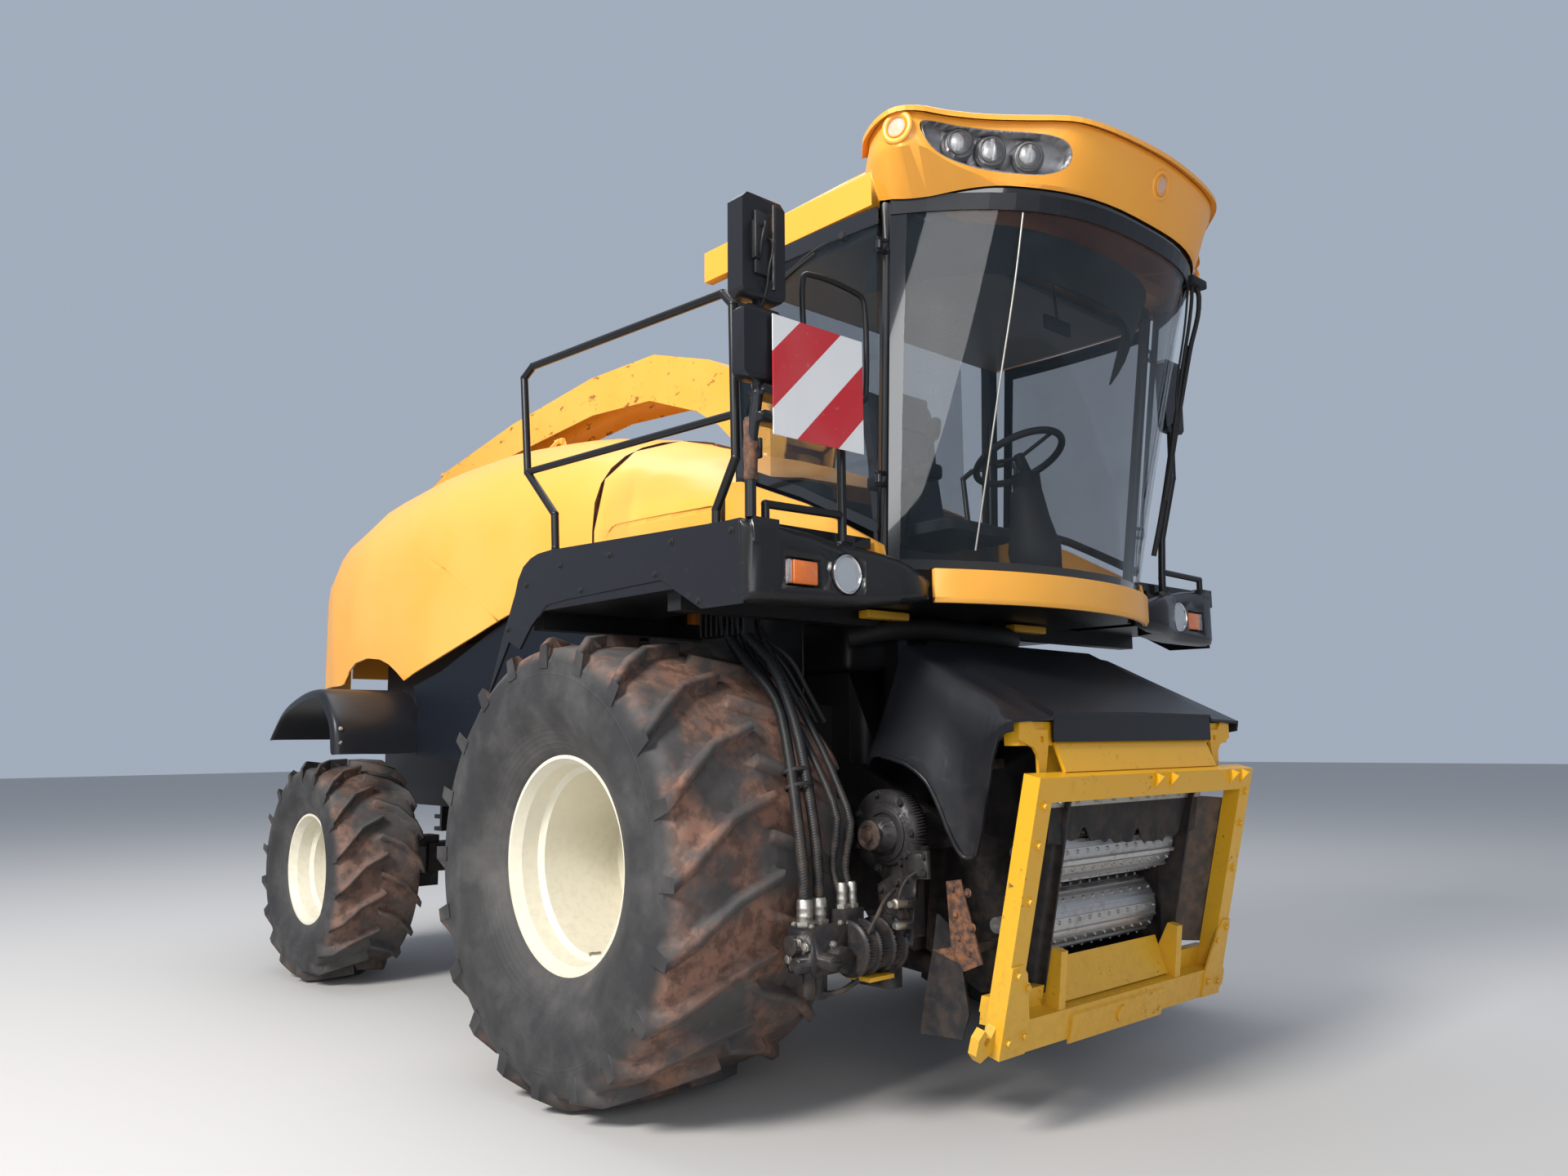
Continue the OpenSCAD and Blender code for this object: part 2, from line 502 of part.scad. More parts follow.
// point of the glass between its last two rows
function screen_top(z, k, t) = let(a = roof_low - (roof_low - belt_top)/5, f = (z - a)/(roof_low - a))
  screen(a, k, t)*(1 - f) + screen(roof_low, k, t)*f;
// frame on the door's hinge line at height z, its Z along the line
module on_hinge(z) translate(hinge_at(z)) rotate([0, acos(hinge_dir[2]/norm(hinge_dir)),
  atan2(hinge_dir[1], hinge_dir[0])]) rotate([0, 0, -atan2(hinge_dir[1], hinge_dir[0])]) children();
hinge_zs = [2400, 3300];
module cab_frame() color(black) at_axle() union() {
  // floor
  box(cab_back, post_x - 50, -cab_half - 5, cab_half + 5, beam_top, beam_top + 40);
  intersection() {
    translate([cab_nose - 1530, 0, beam_top]) cylinder(r = 1480, h = 40, $fn = 96);
    box(post_x - 60, cab_nose, -cab_half + 30, cab_half - 30, beam_top, beam_top + 40);
  }
  // posts
  both() beam([post_at(beam_top + 20) - 34, cab_w(beam_top + 20) - 44, beam_top + 20],
    [post_at(eave_z) - 35, cab_w(eave_z) - 44, eave_z - 12], 50, 50);
  both() beam([cab_back + 35, cab_half - 60, beam_top + 20], [cab_back + 35, cab_w(eave_z) - 80, eave_z],
    60, 60);
  // roof ring
  both() beam([cab_back + 5, cab_w(eave_z) - 80, eave_z + 6], [post_at(eave_z) - 20, cab_w(eave_z) - 60,
    eave_z + 6], 58, 58);
  box(cab_back, cab_back + 60, -cab_half_top + 64, cab_half_top - 64, eave_z - 30, roof_low);
  box(post_x + post_lean - 59, post_x + post_lean - 10, -cab_half_top + 50, cab_half_top - 50,
    eave_z - 20, roof_low);
  // black band along the top of the windscreen
  skin([for (z = [eave_z - 75, eave_z - 12]) [for (k = [0:screen_n]) screen_top(z, k/screen_n, -7)]],
       [for (z = [eave_z - 75, eave_z - 12]) [for (k = [0:screen_n]) screen_top(z, k/screen_n, -5*gap)]]);
  // lower back wall
  box(cab_back, cab_back + 30, -cab_half + 60, cab_half - 60, beam_top, 2550);
  // door hinges
  both() for (z = hinge_zs) on_hinge(z) {
    for (d = [-30, 15.3]) translate([-8, -48, d]) cube([12, 56, 14.7]);
    translate([0, 0, -29]) cylinder(d = 10, h = 58);
  }
}
belt_end = 0.085;                             // the lamp pods cover the ends of the belt
// yellow belt under the windscreen and along the doors
function belt_pt(k, z, t) = let(p = screen(2060, k, t - 30)) [p[0], p[1]*1.02, z];
module cab_belt() color(yellow) at_axle() union() {
  ks = [for (k = [0:20]) belt_end + (1 - 2*belt_end)*k/20];
  skin([for (q = [[1925, -10], [1945, 0], [belt_top, 0]]) [for (k = ks) belt_pt(k, q[0], -q[1])]],
       [for (z = [1925, 1945, belt_top]) [for (k = ks) belt_pt(k, z, 26)]]);
  both() side_plate([[190, 2200], [480, 1990], [post_x + 25, 1990], [post_x + 25, belt_top - 5],
    [post_x + 4, belt_z],
    [700, 2370], [300, 2530], [190, 2545]], cab_half + 5, cab_half + 25);
}
// doors, one curved pane each with its bonded edge
function door_pt(x, z, t) = let(w = cab_w(z) + 12 + 25*(1 - pow(abs((x - 680)/430), 2)) - t)
  [x + (z - belt_z)/(eave_z - belt_z)*(post_lean - 15)*(x - cab_back)/(post_x - cab_back), w, z];
module door() difference() {
  xs = [for (k = [0:6]) cab_back + 70 + (post_x - 94 - cab_back)*k/6];
  us = [0, 0.25, 0.5, 0.75, 1];
  zz = function(x, u) belt_line(x) + 20 + (eave_z - 55 - belt_line(x))*u;
  union() {
    skin([for (x = xs) [for (u = us) door_pt(x, zz(x, u), 0)]],
         [for (x = xs) [for (u = us) door_pt(x, zz(x, u), glass_t)]]);
    for (z = hinge_zs) on_hinge(z) {
      translate([0, 0, -15]) cylinder(d = 24, h = 30);
      translate([-70, -13, -15]) cube([70, 9, 30]);
    }
  }
  for (z = hinge_zs) on_hinge(z) translate([0, 0, -40]) cylinder(d = 10 + 2*gap, h = 80);
}
module door_left() color([0.3, 0.4, 0.45, 0.6]) at_axle() door();
module door_right() color([0.3, 0.4, 0.45, 0.6]) at_axle() mirror([0, 1, 0]) door();

// roof: dome, side strips and the visor with its lamps
visor_x = post_x - 50;                        // rear end of the visor
lip_z = roof_top - 155;                       // edge of the visor's lip
// plan of the lip from the rear end to the middle: share of the length to the nose, y
lip_table = [[0, 950], [0.06, 1000], [0.127, 1050], [0.26, 1106], [0.388, 1119], [0.473, 1062], [0.533,
  955],
  [0.624, 830], [0.739, 710], [0.882, 570], [0.941, 450], [0.98, 260], [1, 0], [0.98, -260]];
// lower ridge of the visor's face, the same way: share, y, depth below the lip
ridge_table = [[0.006, 940, 145], [0.063, 985, 145], [0.145, 1035, 145], [0.273, 1088, 147], [0.382,
  1090, 145],
  [0.461, 1035, 147], [0.495, 950, 177], [0.539, 865, 205], [0.606, 740, 225], [0.733, 588, 235],
  [0.821, 440, 237], [0.858, 255, 239], [0.879, 0, 241], [0.858, -255, 239]];
// underside's inner edge: across the windscreen from the post (1) to the middle (0), height over the eave
under_table = [[1, -20], [0.96, -25], [0.91, -22], [0.86, -10], [0.80, 2], [0.72, 10], [0.60, 8], [0.455,
  7], [0.263, 6], [0, 5],
  [-0.263, 6]];
function share(f) = visor_x + (roof_nose - visor_x)*f;
function lip_at(s) = let(q = curve(lip_table, s)) [share(q[0]), q[1]];
function lip_out(s) = s > 11.95 ? [1, 0] : let(v = lip_at(s + 0.05) - lip_at(max(s - 0.05, 0))) [-v[1],
  v[0]]/norm(v);
function ridge_at(s, t) = let(q = curve(ridge_table, s), n = lip_out(s)) [share(q[0]) - t*n[0],
  q[1] - t*n[1], lip_z - q[2] + t*0.8];
function under_at(s) = s < 3 ? curve([[visor_x + 20, 960, roof_low + 5], [visor_x + 60, 975, roof_low - 10],
    [post_x + post_lean - 45, 985, eave_z], under_pt(0)], s) : under_pt(s - 3);
function under_pt(s) = let(q = curve(under_table, s), p = screen(eave_z + q[1], 0.5 + q[0]/2, -14)) p;
// point on the face: h from 0 under the lip to 1 at the ridge, t behind its outer side
function face_at(s, h, t) = let(p = lip_at(s), n = lip_out(s), r = ridge_at(s, t),
  u = [p[0] - (26 + t)*n[0], p[1] - (26 + t)*n[1], lip_z - 36]) u + (r - u)*h;
visor_steps = [for (k = [0:32]) k*12/32];
function visor_row(s, t) = let(p = lip_at(s), n = lip_out(s), q = under_at(s))
  [[p[0] - (26 + t)*n[0], p[1] - (26 + t)*n[1], lip_z - 10], face_at(s, 0, t), face_at(s, 0.5,
    t) + [6*n[0], 6*n[1], 0],
   ridge_at(s, t), [q[0], q[1], q[2] + t]];
// rows of the visor from right to left, each a path from under the lip to the inner edge
function mirror_row(r) = [for (q = r) [q[0], -q[1], q[2]]];
function around(rows) = concat([for (r = rows) mirror_row(r)], [for (i = [len(rows)-2:-1:0]) rows[i]]);
function dome_row(s, t) = let(p = lip_at(s)) [for (f = [1, 0.985, 0.9, 0.75, 0.55, 0.3, 0.03])
  [visor_x + (p[0] - visor_x)*f, p[1]*f, lip_z + (roof_top - lip_z)*pow(1 - f*f, 0.8) - t]];
function dome_z(x, y) = roof_top - 300 + 299*at([[150, 0.55], [400, 0.85], [visor_x + 20, 1]],
  x)*pow(max(0, 1 - pow(y/985, 2)), 0.6);
// frame on the visor's face at station s: X outwards and down by the face's slope, Y along the face
module on_face(s, h, t) {
  n = lip_out(s);
  v = face_at(s, 1, 0) - face_at(s, 0, 0);
  translate(face_at(s, h, t)) rotate([0, atan2(-v*[n[0], n[1], 0], -v[2]), atan2(n[1], n[0])]) children();
}
tray_s = 7.65;                                // middle of the lamp tray
tray_loop = loop([[300, 80], [292, 30], [235, -28], [120, -66], [-50, -82], [-190, -84], [-275, -56],
  [-302, -8],
  [-275, 40], [-180, 66], [0, 76], [150, 84], [250, 92]], 3);
module tray_prism(d) rotate([90, 0, 90]) translate([0, 0, -120])
  linear_extrude(240) polygon([for (q = tray_loop) q + d*q/norm(q)]);
lamp_d = 88;                                  // round lamps of the roof
module roof() color(yellow) at_axle() difference() {
  union() {
    box(150, post_x + 220, -985, 985, roof_low, roof_top - 300);
    both() box(150, visor_x + 120, 984, 1030, eave_z - 28, roof_top - 300);
    xs = [150, 250, 400, 600, 850, visor_x + 20];
    ys = [for (k = [-8:8]) 985*sin(90*k/8)];
    skin([for (x = xs) [for (y = ys) [x, y, dome_z(x, y)]]], [for (x = xs) [for (y = ys) [x, y,
      roof_top - 310]]]);
    skin(around([for (s = visor_steps) dome_row(s, 0)]), around([for (s = visor_steps) dome_row(s, 20)]));
    skin(around([for (s = visor_steps) visor_row(s, 0)]), around([for (s = visor_steps) visor_row(s, 12)]));
  }
  both() on_face(tray_s, 0.47, 0) tray_prism(0);
  both() on_face(4.0, 0.3, 0) xcyl(0, 0, lamp_d + 2*gap, -60, 60);
  on_face(12, 0.35, 0) xcyl(0, 0, lamp_d + 2*gap, -60, 60);
}

module cab_interior() color(black) at_axle() union() {
  f = beam_top + 40;
  // seat
  box(560, 640, -60, 60, f, 2300);
  box(420, 900, -250, 250, 2290, 2400);
  side_plate([[400, 2390], [520, 2390], [440, 3050], [330, 3050]], -240, 240);
  // column and wheel
  box(1120, 1230, -70, 70, f, f + 60);
  beam([1180, 0, f + 40], [1120, 0, 2560], 90, 90);
  translate([1090, 0, 2640]) rotate([0, -25, 0]) {
    rotate_extrude($fn = 48) translate([200, 0]) circle(r = 16, $fn = 16);
    translate([0, 0, -110]) cylinder(d = 50, h = 120);
    for (a = [0, 120, 240]) rotate([0, 0, a]) translate([0, -8, -7]) cube([195, 16, 11]);
  }
}

// hood
function hood_w(x) = at([[-tail_reach, 640], [-4540, 800], [-4400, 900], [-4100, 975], [-3600, 1015],
  [-2600, hood_half],
  [-1400, hood_half], [seam_x, hood_half - 15], [350, hood_half - 60]], x);
function hood_h(x) = at([[-tail_reach, 2280], [-4540, 2560], [-4400, 2850], [-4100, 3080], [-3600, 3230],
  [-2900, hood_top],
  [-2200, 3290], [-1500, 3210], [seam_x, 3040], [-150, 2840], [350, 2560]], x);
function hood_low(x) = at([[-tail_reach, 1810], [-3900, 1810], [-3810, 1822], [-3734, 1895], [-3600,
  1950], [-3407, 1971],
  [-3140, 1945], [-2978, 1879], [-2824, 1797], [-2708, 1832], [-2300, 1925], [-1643, 2080], [-1100,
    2190], [seam_x, 2200], [350, 2200]], x);
function hood_side(x) = min(2450, hood_low(x)*0.35 + hood_h(x)*0.65);
// point on the hood; a from 0 (middle) to 1 (shoulder), then down to the lower edge at 2
function hood_pt(x, a, t) = let(w = hood_w(x) - t, h = hood_h(x) - t, s = hood_side(x))
  a <= 1 ? [x, w*pow(sin(90*a), 0.8), s + (h - s)*pow(cos(90*a), 0.8)]
         : [x, w, s + (hood_low(x) - s)*(a - 1)];
function spine_a(x, t) = asin(pow(spine_half/(hood_w(x) - t), 1/0.8))/90;
function spine_z(x) = hood_pt(x, spine_a(x, 0), 0)[2];
hood_hinge_z = hood_top - 25;                 // hinge line of the side hoods, over y = spine_half
hood_hinge_xs = [-2050, -3150];
// plate drawn in end view (y, z), from x0 to x1
module end_plate(p, x0, x1) translate([x0, 0, 0]) rotate([90, 0, 90]) linear_extrude(x1 - x0) polygon(p);
module xcyl(y, z, d, x0, x1) translate([x0, y, z]) rotate([0, 90, 0]) cylinder(d = d, h = x1 - x0);
module hood_side_panel() difference() {
  xs = [-4376, -4240, -4100, -3900, -3810, -3734, -3600, -3407, -3200, -3060, -2940, -2824, -2708, -2500,
    -2300, -2000, -1643,
    -1370, -1100, -920, seam_x - 6];
  fa = function(x, j, t) let(a0 = spine_a(x, t) + 0.006) j <= 7 ? a0 + (1 - a0)*j/7 : 1 + (j - 7)/2;
  union() {
    skin([for (x = xs) [for (j = [0:9]) hood_pt(x, fa(x, j, 0), 0)]],
         [for (x = xs) [for (j = [0:9]) hood_pt(x, fa(x, j, hood_t), hood_t)]]);
    for (x = hood_hinge_xs) {
      xcyl(spine_half, hood_hinge_z, 22, x - 15, x + 15);
      end_plate([[spine_half, hood_hinge_z - 8], [spine_half + 8, hood_hinge_z + 6], [spine_half + 62,
        spine_z(x) - 16],
        [spine_half + 40, spine_z(x) - 16]], x - 15, x + 15);
    }
  }
  for (x = hood_hinge_xs) xcyl(spine_half, hood_hinge_z, 10 + 2*gap, x - 40, x + 40);
  // crease between the upper cover and the lower panel
  groove(crease, 9);
}
crease = [[-4385, 2560], [-4100, 2655], [-3893, 2683], [-3500, 2700], [-3113, 2680], [-2787, 2611],
  [-2500, 2515], [-2246, 2400],
  [-1960, 2245], [-1640, 2060]];
// groove in the hood's side along the points (x, z), w wide
module groove(p, w) {
  q = [for (k = [0:2*(len(p) - 1)]) curve(p, k/2)];
  n = function(k) let(v = q[min(k + 1, len(q) - 1)] - q[max(k - 1, 0)]) [-v[1], v[0]]*w/2/norm(v);
  y = function(x, t) hood_w(x) - t;
  skin([for (k = [0:len(q)-1]) [for (e = [-1, 1]) let(c = q[k] + e*n(k)) [c[0], y(c[0], -8), c[1]]]],
       [for (k = [0:len(q)-1]) [for (e = [-1, 1]) let(c = q[k] + e*n(k)) [c[0], y(c[0], hood_t*0.5),
         c[1]]]]);
}
module hood_left() color(yellow) at_axle() hood_side_panel();
module hood_right() color(yellow) at_axle() mirror([0, 1, 0]) hood_side_panel();
module hood_centre() color(yellow) at_axle() difference() {
  pt = function(x, a, t) let(q = hood_pt(x, abs(a), t)) [q[0], a < 0 ? -q[1] : q[1], q[2]];
  us = [-2, -1.5, -1, -0.75, -0.5, -0.25, 0, 0.25, 0.5, 0.75, 1, 1.5, 2];
  union() {
    // spine between the side hoods
    xs = [-4390, -4100, -3600, -3200, -2900, -2400, -1900, -1400, seam_x + 4];
    fs = function(x, j, t) spine_a(x, t)*(j - 3)/3;
    skin([for (x = xs) [for (j = [0:6]) pt(x, fs(x, j, 0), 0)]], [for (x = xs) [for (j = [0:6]) pt(x,
      fs(x, j, 40), 40)]]);
    // front body behind the cab, over the full width
    xf = [seam_x, -600, -450, -300, -150, 0, 120, 180];
    skin([for (x = xf) [for (a = us) pt(x, a, 0)]], [for (x = xf) [for (a = us) pt(x, a, hood_t)]]);
    // tail behind the side hoods
    xt = [-tail_reach, -4540, -4400, -4384];
    skin([for (x = xt) [for (a = us) pt(x, a, 0)]], [for (x = xt) [for (a = us) pt(x, a, hood_t)]]);
    box(-tail_reach, -tail_reach + 20, -620, 620, 1900, 2270);
    // feet on the frame
    both() for (x = [-1690, -3420]) box(x, x + 60, rail_y - rail_t, rail_y,
      rail_top + (x < -3000 ? 0 : 0), spine_z(x + 30) - 20);
    // hinge brackets
    both() for (x = hood_hinge_xs) for (e = [-45, 15.3]) end_plate([[spine_half - 40, spine_z(x) - 20],
      [spine_half - 3, spine_z(x) - 20], [spine_half - 3, spine_z(x) + 8], [spine_half + 8,
        spine_z(x) + 12],
      [spine_half + 8, hood_hinge_z + 8], [spine_half - 12, hood_hinge_z + 8]], x + e, x + e + 29.7);
    both() for (x = hood_hinge_xs) xcyl(spine_half, hood_hinge_z, 10, x - 40, x + 40);
  }
  translate([turn_x, 0, 2400]) cylinder(r = turn_r + 130, h = 900);
  // ledge in the front body
  both() groove([[-640, 2398], [-590, 2440], [-500, 2446], [-150, 2440], [160, 2428]], 26);
}

// skirts and fenders
module skirts() color(navy) at_axle() both() union() {
  side_plate([[-2700, 1340], [-1000, 1240], [-640, 1700], [-560, 2180], [-1100, 2180], [-1700, 2060],
    [-2400, 1835],
    [-2760, 1760],
    [-2700, 1620]], skirt_y, skirt_y + 20);
  box(-2450, -1700, rail_y, 780, 990, 1262);
}
module rear_fenders() color(black) at_axle() both() union() {
  p = [[-3770, 1445], [-3545, 1640], [-3147, 1745], [-2950, 1745], [-2721, 1560]];
  side_plate(concat(p, [for (i = [4:-1:0]) p[i] - [0, 14]]), fender_y, rear_y + rear_w/2 + 14);
  side_plate([[-3545, 1630], [-3147, 1735], [-2950, 1735], [-2721, 1550], [-2721, 1345], [-3520, 1345]],
    fender_y, fender_y + 12);
}

// spout
// middle line of the spout's outer wall, (x, z)
sp = [[-300, 2960], [-420, 3230], [-620, 3420], [-890, 3560], [-1420, 3725], [-2100, 3740], [-3090,
  3645], [-4150, 3470]];
sd = [300, 320, 320, 300, 280, 250, 225, 200];        // depth at each point
flap_x = -4160; flap_z = 3470;                // hinge of the end flap
module spout_turret() color(yellow) at_axle() {
  union() {
    translate([turn_x, 0, ring_z + gap]) difference() {
      cylinder(r = turn_r + 50, h = 50);
      translate([0, 0, -1]) cylinder(r = turn_r - 10, h = 60);
    }
    translate([turn_x, 0, 2780]) difference() {
      cylinder(r = turn_r - 4, h = 130);
      translate([0, 0, -1]) cylinder(r = turn_r - 14, h = 140);
    }
    both() side_plate([[turn_x - 60, 2790], [turn_x + 220, 2790], [spout_px + 40, spout_pivot_z + 45],
      [spout_px - 45, spout_pivot_z + 45]], spout_w/2 + 12, spout_w/2 + 30);
    ycyl(spout_px, spout_pivot_z, 40, -spout_w/2 - 29, spout_w/2 + 29);
  }
}
spout_px = -240;
module spout() color(yellow) at_axle() difference() {
  n = len(sp) - 1;
  union() {
    both() side_plate(concat(sp, [for (i = [n:-1:0]) sp[i] + spout_in(i)*sd[i]]), spout_w/2 - spout_t,
      spout_w/2);
    side_plate(concat(sp, [for (i = [n:-1:0]) sp[i] + spout_in(i)*spout_t]), -spout_w/2, spout_w/2);
    // ears on the lift pivot and at the end flap
    both() side_plate([[-330, 2960], [-300, 2960], [spout_px + 40, spout_pivot_z - 40], [spout_px + 40,
      spout_pivot_z + 40],
      [-330, 3130], [-420, 3100]], spout_w/2 - spout_t, spout_w/2 + 8);
    both() side_plate([[-4130, flap_z + 10], [-4130, flap_z - 40], [flap_x - 18, flap_z - 20],
      [flap_x - 18, flap_z + 14]],
      spout_w/2 - spout_t, spout_w/2);
  }
  ycyl(spout_px, spout_pivot_z, 40 + 2*gap, -spout_w/2 - 40, spout_w/2 + 40);
  ycyl(flap_x, flap_z, 16 + 2*gap, -spout_w/2 - 40, spout_w/2 + 40);
}
// inward direction at point i, towards the inside of the bend
function spout_in(i) = let(a = sp[max(i-1, 0)], b = sp[min(i+1, len(sp)-1)],
  v = (b - a)/norm(b - a)) [v[1], -v[0]]*-1;
module spout_flap() color(yellow) at_axle() union() {
  ycyl(flap_x, flap_z, 16, -spout_w/2, spout_w/2);
  side_plate([[flap_x - 4, flap_z], [flap_x - 4, flap_z - 12], [-4556, 3330], [-4560, 3342]],
    -spout_w/2 + 22, spout_w/2 - 22);
  both() side_plate([[flap_x - 4, flap_z - 4], [flap_x - 10, flap_z - 130], [-4500, 3230], [-4556, 3336]],
    spout_w/2 - 32, spout_w/2 - 22);
}

// header drive and hoses
drive_y = 770; case_y = 840; leg_y = 885;     // inner face, outer faces of the case and of its leg
block_top = 752;
module header_drive() color(dark) at_axle() mirror([0, 1, 0]) union() {
  // round case on the pivot and its leg down to the motor
  ycyl(pivot_x - 15, pivot_z + 8, 318, drive_y, case_y);
  ycyl(pivot_x, pivot_z, 230, case_y - 1, case_y + 14);
  ycyl(pivot_x, pivot_z, 130, case_y, case_y + 70);
  ycyl(pivot_x, pivot_z, 46, case_y, case_y + 92);
  side_plate([[1000, 860], [945, 960], [1000, 1000], [1165, 1010], [1178, 985], [1139, 632], [1037, 640],
    [1012, 760]], drive_y, case_y);
  side_plate([[1006, 865], [1166, 950], [1139, 640], [1042, 648], [1018, 760]], case_y - 1, leg_y);
  // bolted bracket beside the leg
  side_plate([[1150, 1000], [1268, 1006], [1270, 905], [1212, 900], [1185, 662], [1145, 662]], leg_y - 1,
    leg_y + 14);
  box(1150, 1190, case_y - 10, leg_y, 690, 980);
  box(1196, 1250, leg_y + 12, leg_y + 40, 918, 992);
  ycyl(1190, 820, 44, leg_y + 10, leg_y + 60);
  ycyl(1176, 740, 40, leg_y + 10, leg_y + 48);
  // motor with its ribs and the ports of the thin hoses
  ycyl(1072, 664, 176, leg_y - 1, 1120);
  for (y = [leg_y + 10, 960, 1035, 1098]) ycyl(1072, 664, 200, y, y + 16);
  box(1000, 1062, 1020, 1135, 700, 800);
  // valve block
  box(945, 1075, 1119, 1292, 590, block_top);
  box(915, 950, 1140, 1270, 600, 700);
  xcyl(1180, 640, 92, 1070, 1120);
  xcyl(1245, 640, 60, 1070, 1140);
  translate([1000, 1210, 500]) cylinder(d = 84, h = 95);
  translate([1030, 1270, 520]) cylinder(d = 50, h = 80);
  ycyl(985, 690, 70, 1290, 1322);
  ycyl(1035, 630, 56, 1290, 1340);
  // yellow-footed stay under the leg
  box(905, 1100, 860, 930, 500, 520);
  box(1040, 1100, 860, 930, 519, 650);
  // sleeve round the pivot, on the frame arm
  difference() {
    ycyl(pivot_x, pivot_z, 140, arm_y + 40, drive_y + 1);
    ycyl(pivot_x, pivot_z, pivot_d + 4, arm_y + 30, arm_y + 50);
  }
}
hose_r = 21; thin_r = 14;                     // thick and thin hoses
hose_top = beam_top - gap;
thick_paths = [
  [[415, -1150, hose_top], [415, -1150, hose_top - 25], [415, -1150, 1895], [470, -1150, 1815], [604,
    -1150, 1685], [708, -1152, 1598], [778, -1160, 1503],
   [868, -1200, 1325], [945, -1240, 1136], [983, -1250, 956], [990, -1250, 849], [990, -1250,
     block_top + 30], [990, -1250, block_top + gap]],
  [[500, -1150, hose_top], [500, -1150, hose_top - 25], [500, -1150, 1905], [560, -1150, 1830], [706,
    -1150, 1717], [803, -1150, 1560], [870, -1152, 1400],
   [935, -1165, 1195], [979, -1175, 1011], [988, -1178, 842], [988, -1178, block_top + 30], [988, -1178,
     block_top + gap]]];
thin_paths = [
  [[450, -1098, hose_top], [450, -1098, hose_top - 25], [450, -1098, 1890], [520, -1098, 1770], [620,
    -1098, 1655], [758, -1100, 1512], [868, -1100, 1371],
   [955, -1100, 1243], [1012, -1100, 1120], [990, -1100, 994], [985, -1100, 931], [1018, -1100, 860],
     [1030, -1100, 828], [1030, -1100, 800 + gap]],
  [[540, -1070, hose_top], [540, -1070, hose_top - 25], [540, -1070, 1900], [590, -1066, 1790], [690,
    -1062, 1655], [790, -1060, 1520], [890, -1060, 1385],
   [985, -1060, 1230], [1040, -1058, 1105], [1012, -1056, 985], [1005, -1054, 920], [1025, -1052, 860],
     [1030, -1050, 828], [1030, -1050, 800 + gap]]];
module hoses() color(black) at_axle() {
  for (p = thick_paths) hose(fine(p), hose_r);
  for (p = thin_paths) hose(fine(p), thin_r);
}
// route with one smooth point between each two
function fine(p) = let(n = 2*(len(p) - 1)) [for (k = [0:n]) if (k != 1 && k != n - 1) curve(p, k/2)];
// eight-sided tube along the points
module hose(p, r) {
  n = len(p);
  ring = function(i) let(v = (p[min(i+1, n-1)] - p[max(i-1, 0)]), t = v/norm(v), u = cross(t, [0, 1,
    0])/norm(cross(t, [0, 1, 0])), w = cross(t, u))
    [for (k = [0:7]) p[i] + r*(cos(45*k)*u + sin(45*k)*w)];
  pts = [for (i = [0:n-1]) each ring(i)];
  f = concat([for (i = [0:n-2]) for (k = [0:7]) let(a = 8*i + k, b = 8*i + (k+1)%8) each [[a, b, b + 8],
    [a, b + 8, a + 8]]],
    [for (k = [1:6]) [0, k + 1, k]], [for (k = [1:6]) [8*(n-1), 8*(n-1) + k, 8*(n-1) + k + 1]]);
  solid(pts, f);
}

// feeder, lifts about the pivot
up_x = 1375; up_z = 975; lo_x = 1270; lo_z = 700;
module lean() translate([foot_x, 0, foot_z]) rotate([0, frame_lean, 0]) children();
module feeder_housing() color(dark) at_axle() difference() {
  union() {
    both() side_plate([[700, 900], [760, 620], [1150, 430], [1440, 470], [1590, 1180], [1500, 1380],
      [1000, 1420], [760, 1300]],
      throat_half, throat_half + plate_t);
    // pivot pins
    both() ycyl(pivot_x, pivot_z, pivot_d, throat_half, arm_y + 46);
    both() ycyl(pivot_x, pivot_z, 150, throat_half + plate_t - 1, arm_y - 5);
    // roof, floor and cross tube
    box(800, 1500, -throat_half - 1, throat_half + 1, 1370, 1384);
    box(1160, 1400, -throat_half - 1, throat_half + 1, 520, 534);
    ycyl(1090, 590, 80, -throat_half - 1, throat_half + 1);
    // arms to the hood
    both() box(1200, 1300, throat_half + plate_t - 1, hood_in, 1290, 1330);
    // plates slanting from the frame's inner edge into the throat
    both() translate([foot_x, 0, foot_z]) rotate([0, frame_lean, 0]) translate([0, 0, 215])
      linear_extrude(636)
      polygon([[-4, frame_half - 74], [-4, frame_half - 86], [-100, throat_half + plate_t - 1], [-114,
        throat_half + plate_t - 1],
        [-16, frame_half - 74]]);
    // guard and shield on the right, with their arm
    mirror([0, 1, 0]) {
      box(1318, 1350, throat_half + plate_t - 1, guard_y + 1, 636, 668);
      side_plate([[1285, 892], [1352, 904], [1436, 618], [1355, 583], [1300, 660]], guard_y + 10,
        guard_y + 20);
      side_plate([[1230, 770], [1324, 715], [1366, 436], [1332, 345], [1136, 334], [1156, 446], [1205,
        640]], guard_y, guard_y + 11);
    }
    // ears and pins of the lift rods
    both() for (y = [lift_y - 60, lift_y + 36]) side_plate([[1180, 525], [1320, 525], [rod_x + 40,
      rod_z - 40], [rod_x - 40, rod_z - 40]], y, y + 24);
    both() ycyl(rod_x, rod_z, lift_pin, lift_y - 59, lift_y + 59);
  }
  for (q = [[up_x, up_z], [lo_x, lo_z]]) ycyl(q[0], q[1], roll_shaft_d + 2*gap, -throat_half - 40,
    throat_half + 40);
}
plate_t = 14; guard_y = frame_half + 8;       // side plates, inner face of the shield
hood_in = frame_half - 62;                    // inner face of the feeder hood's sides
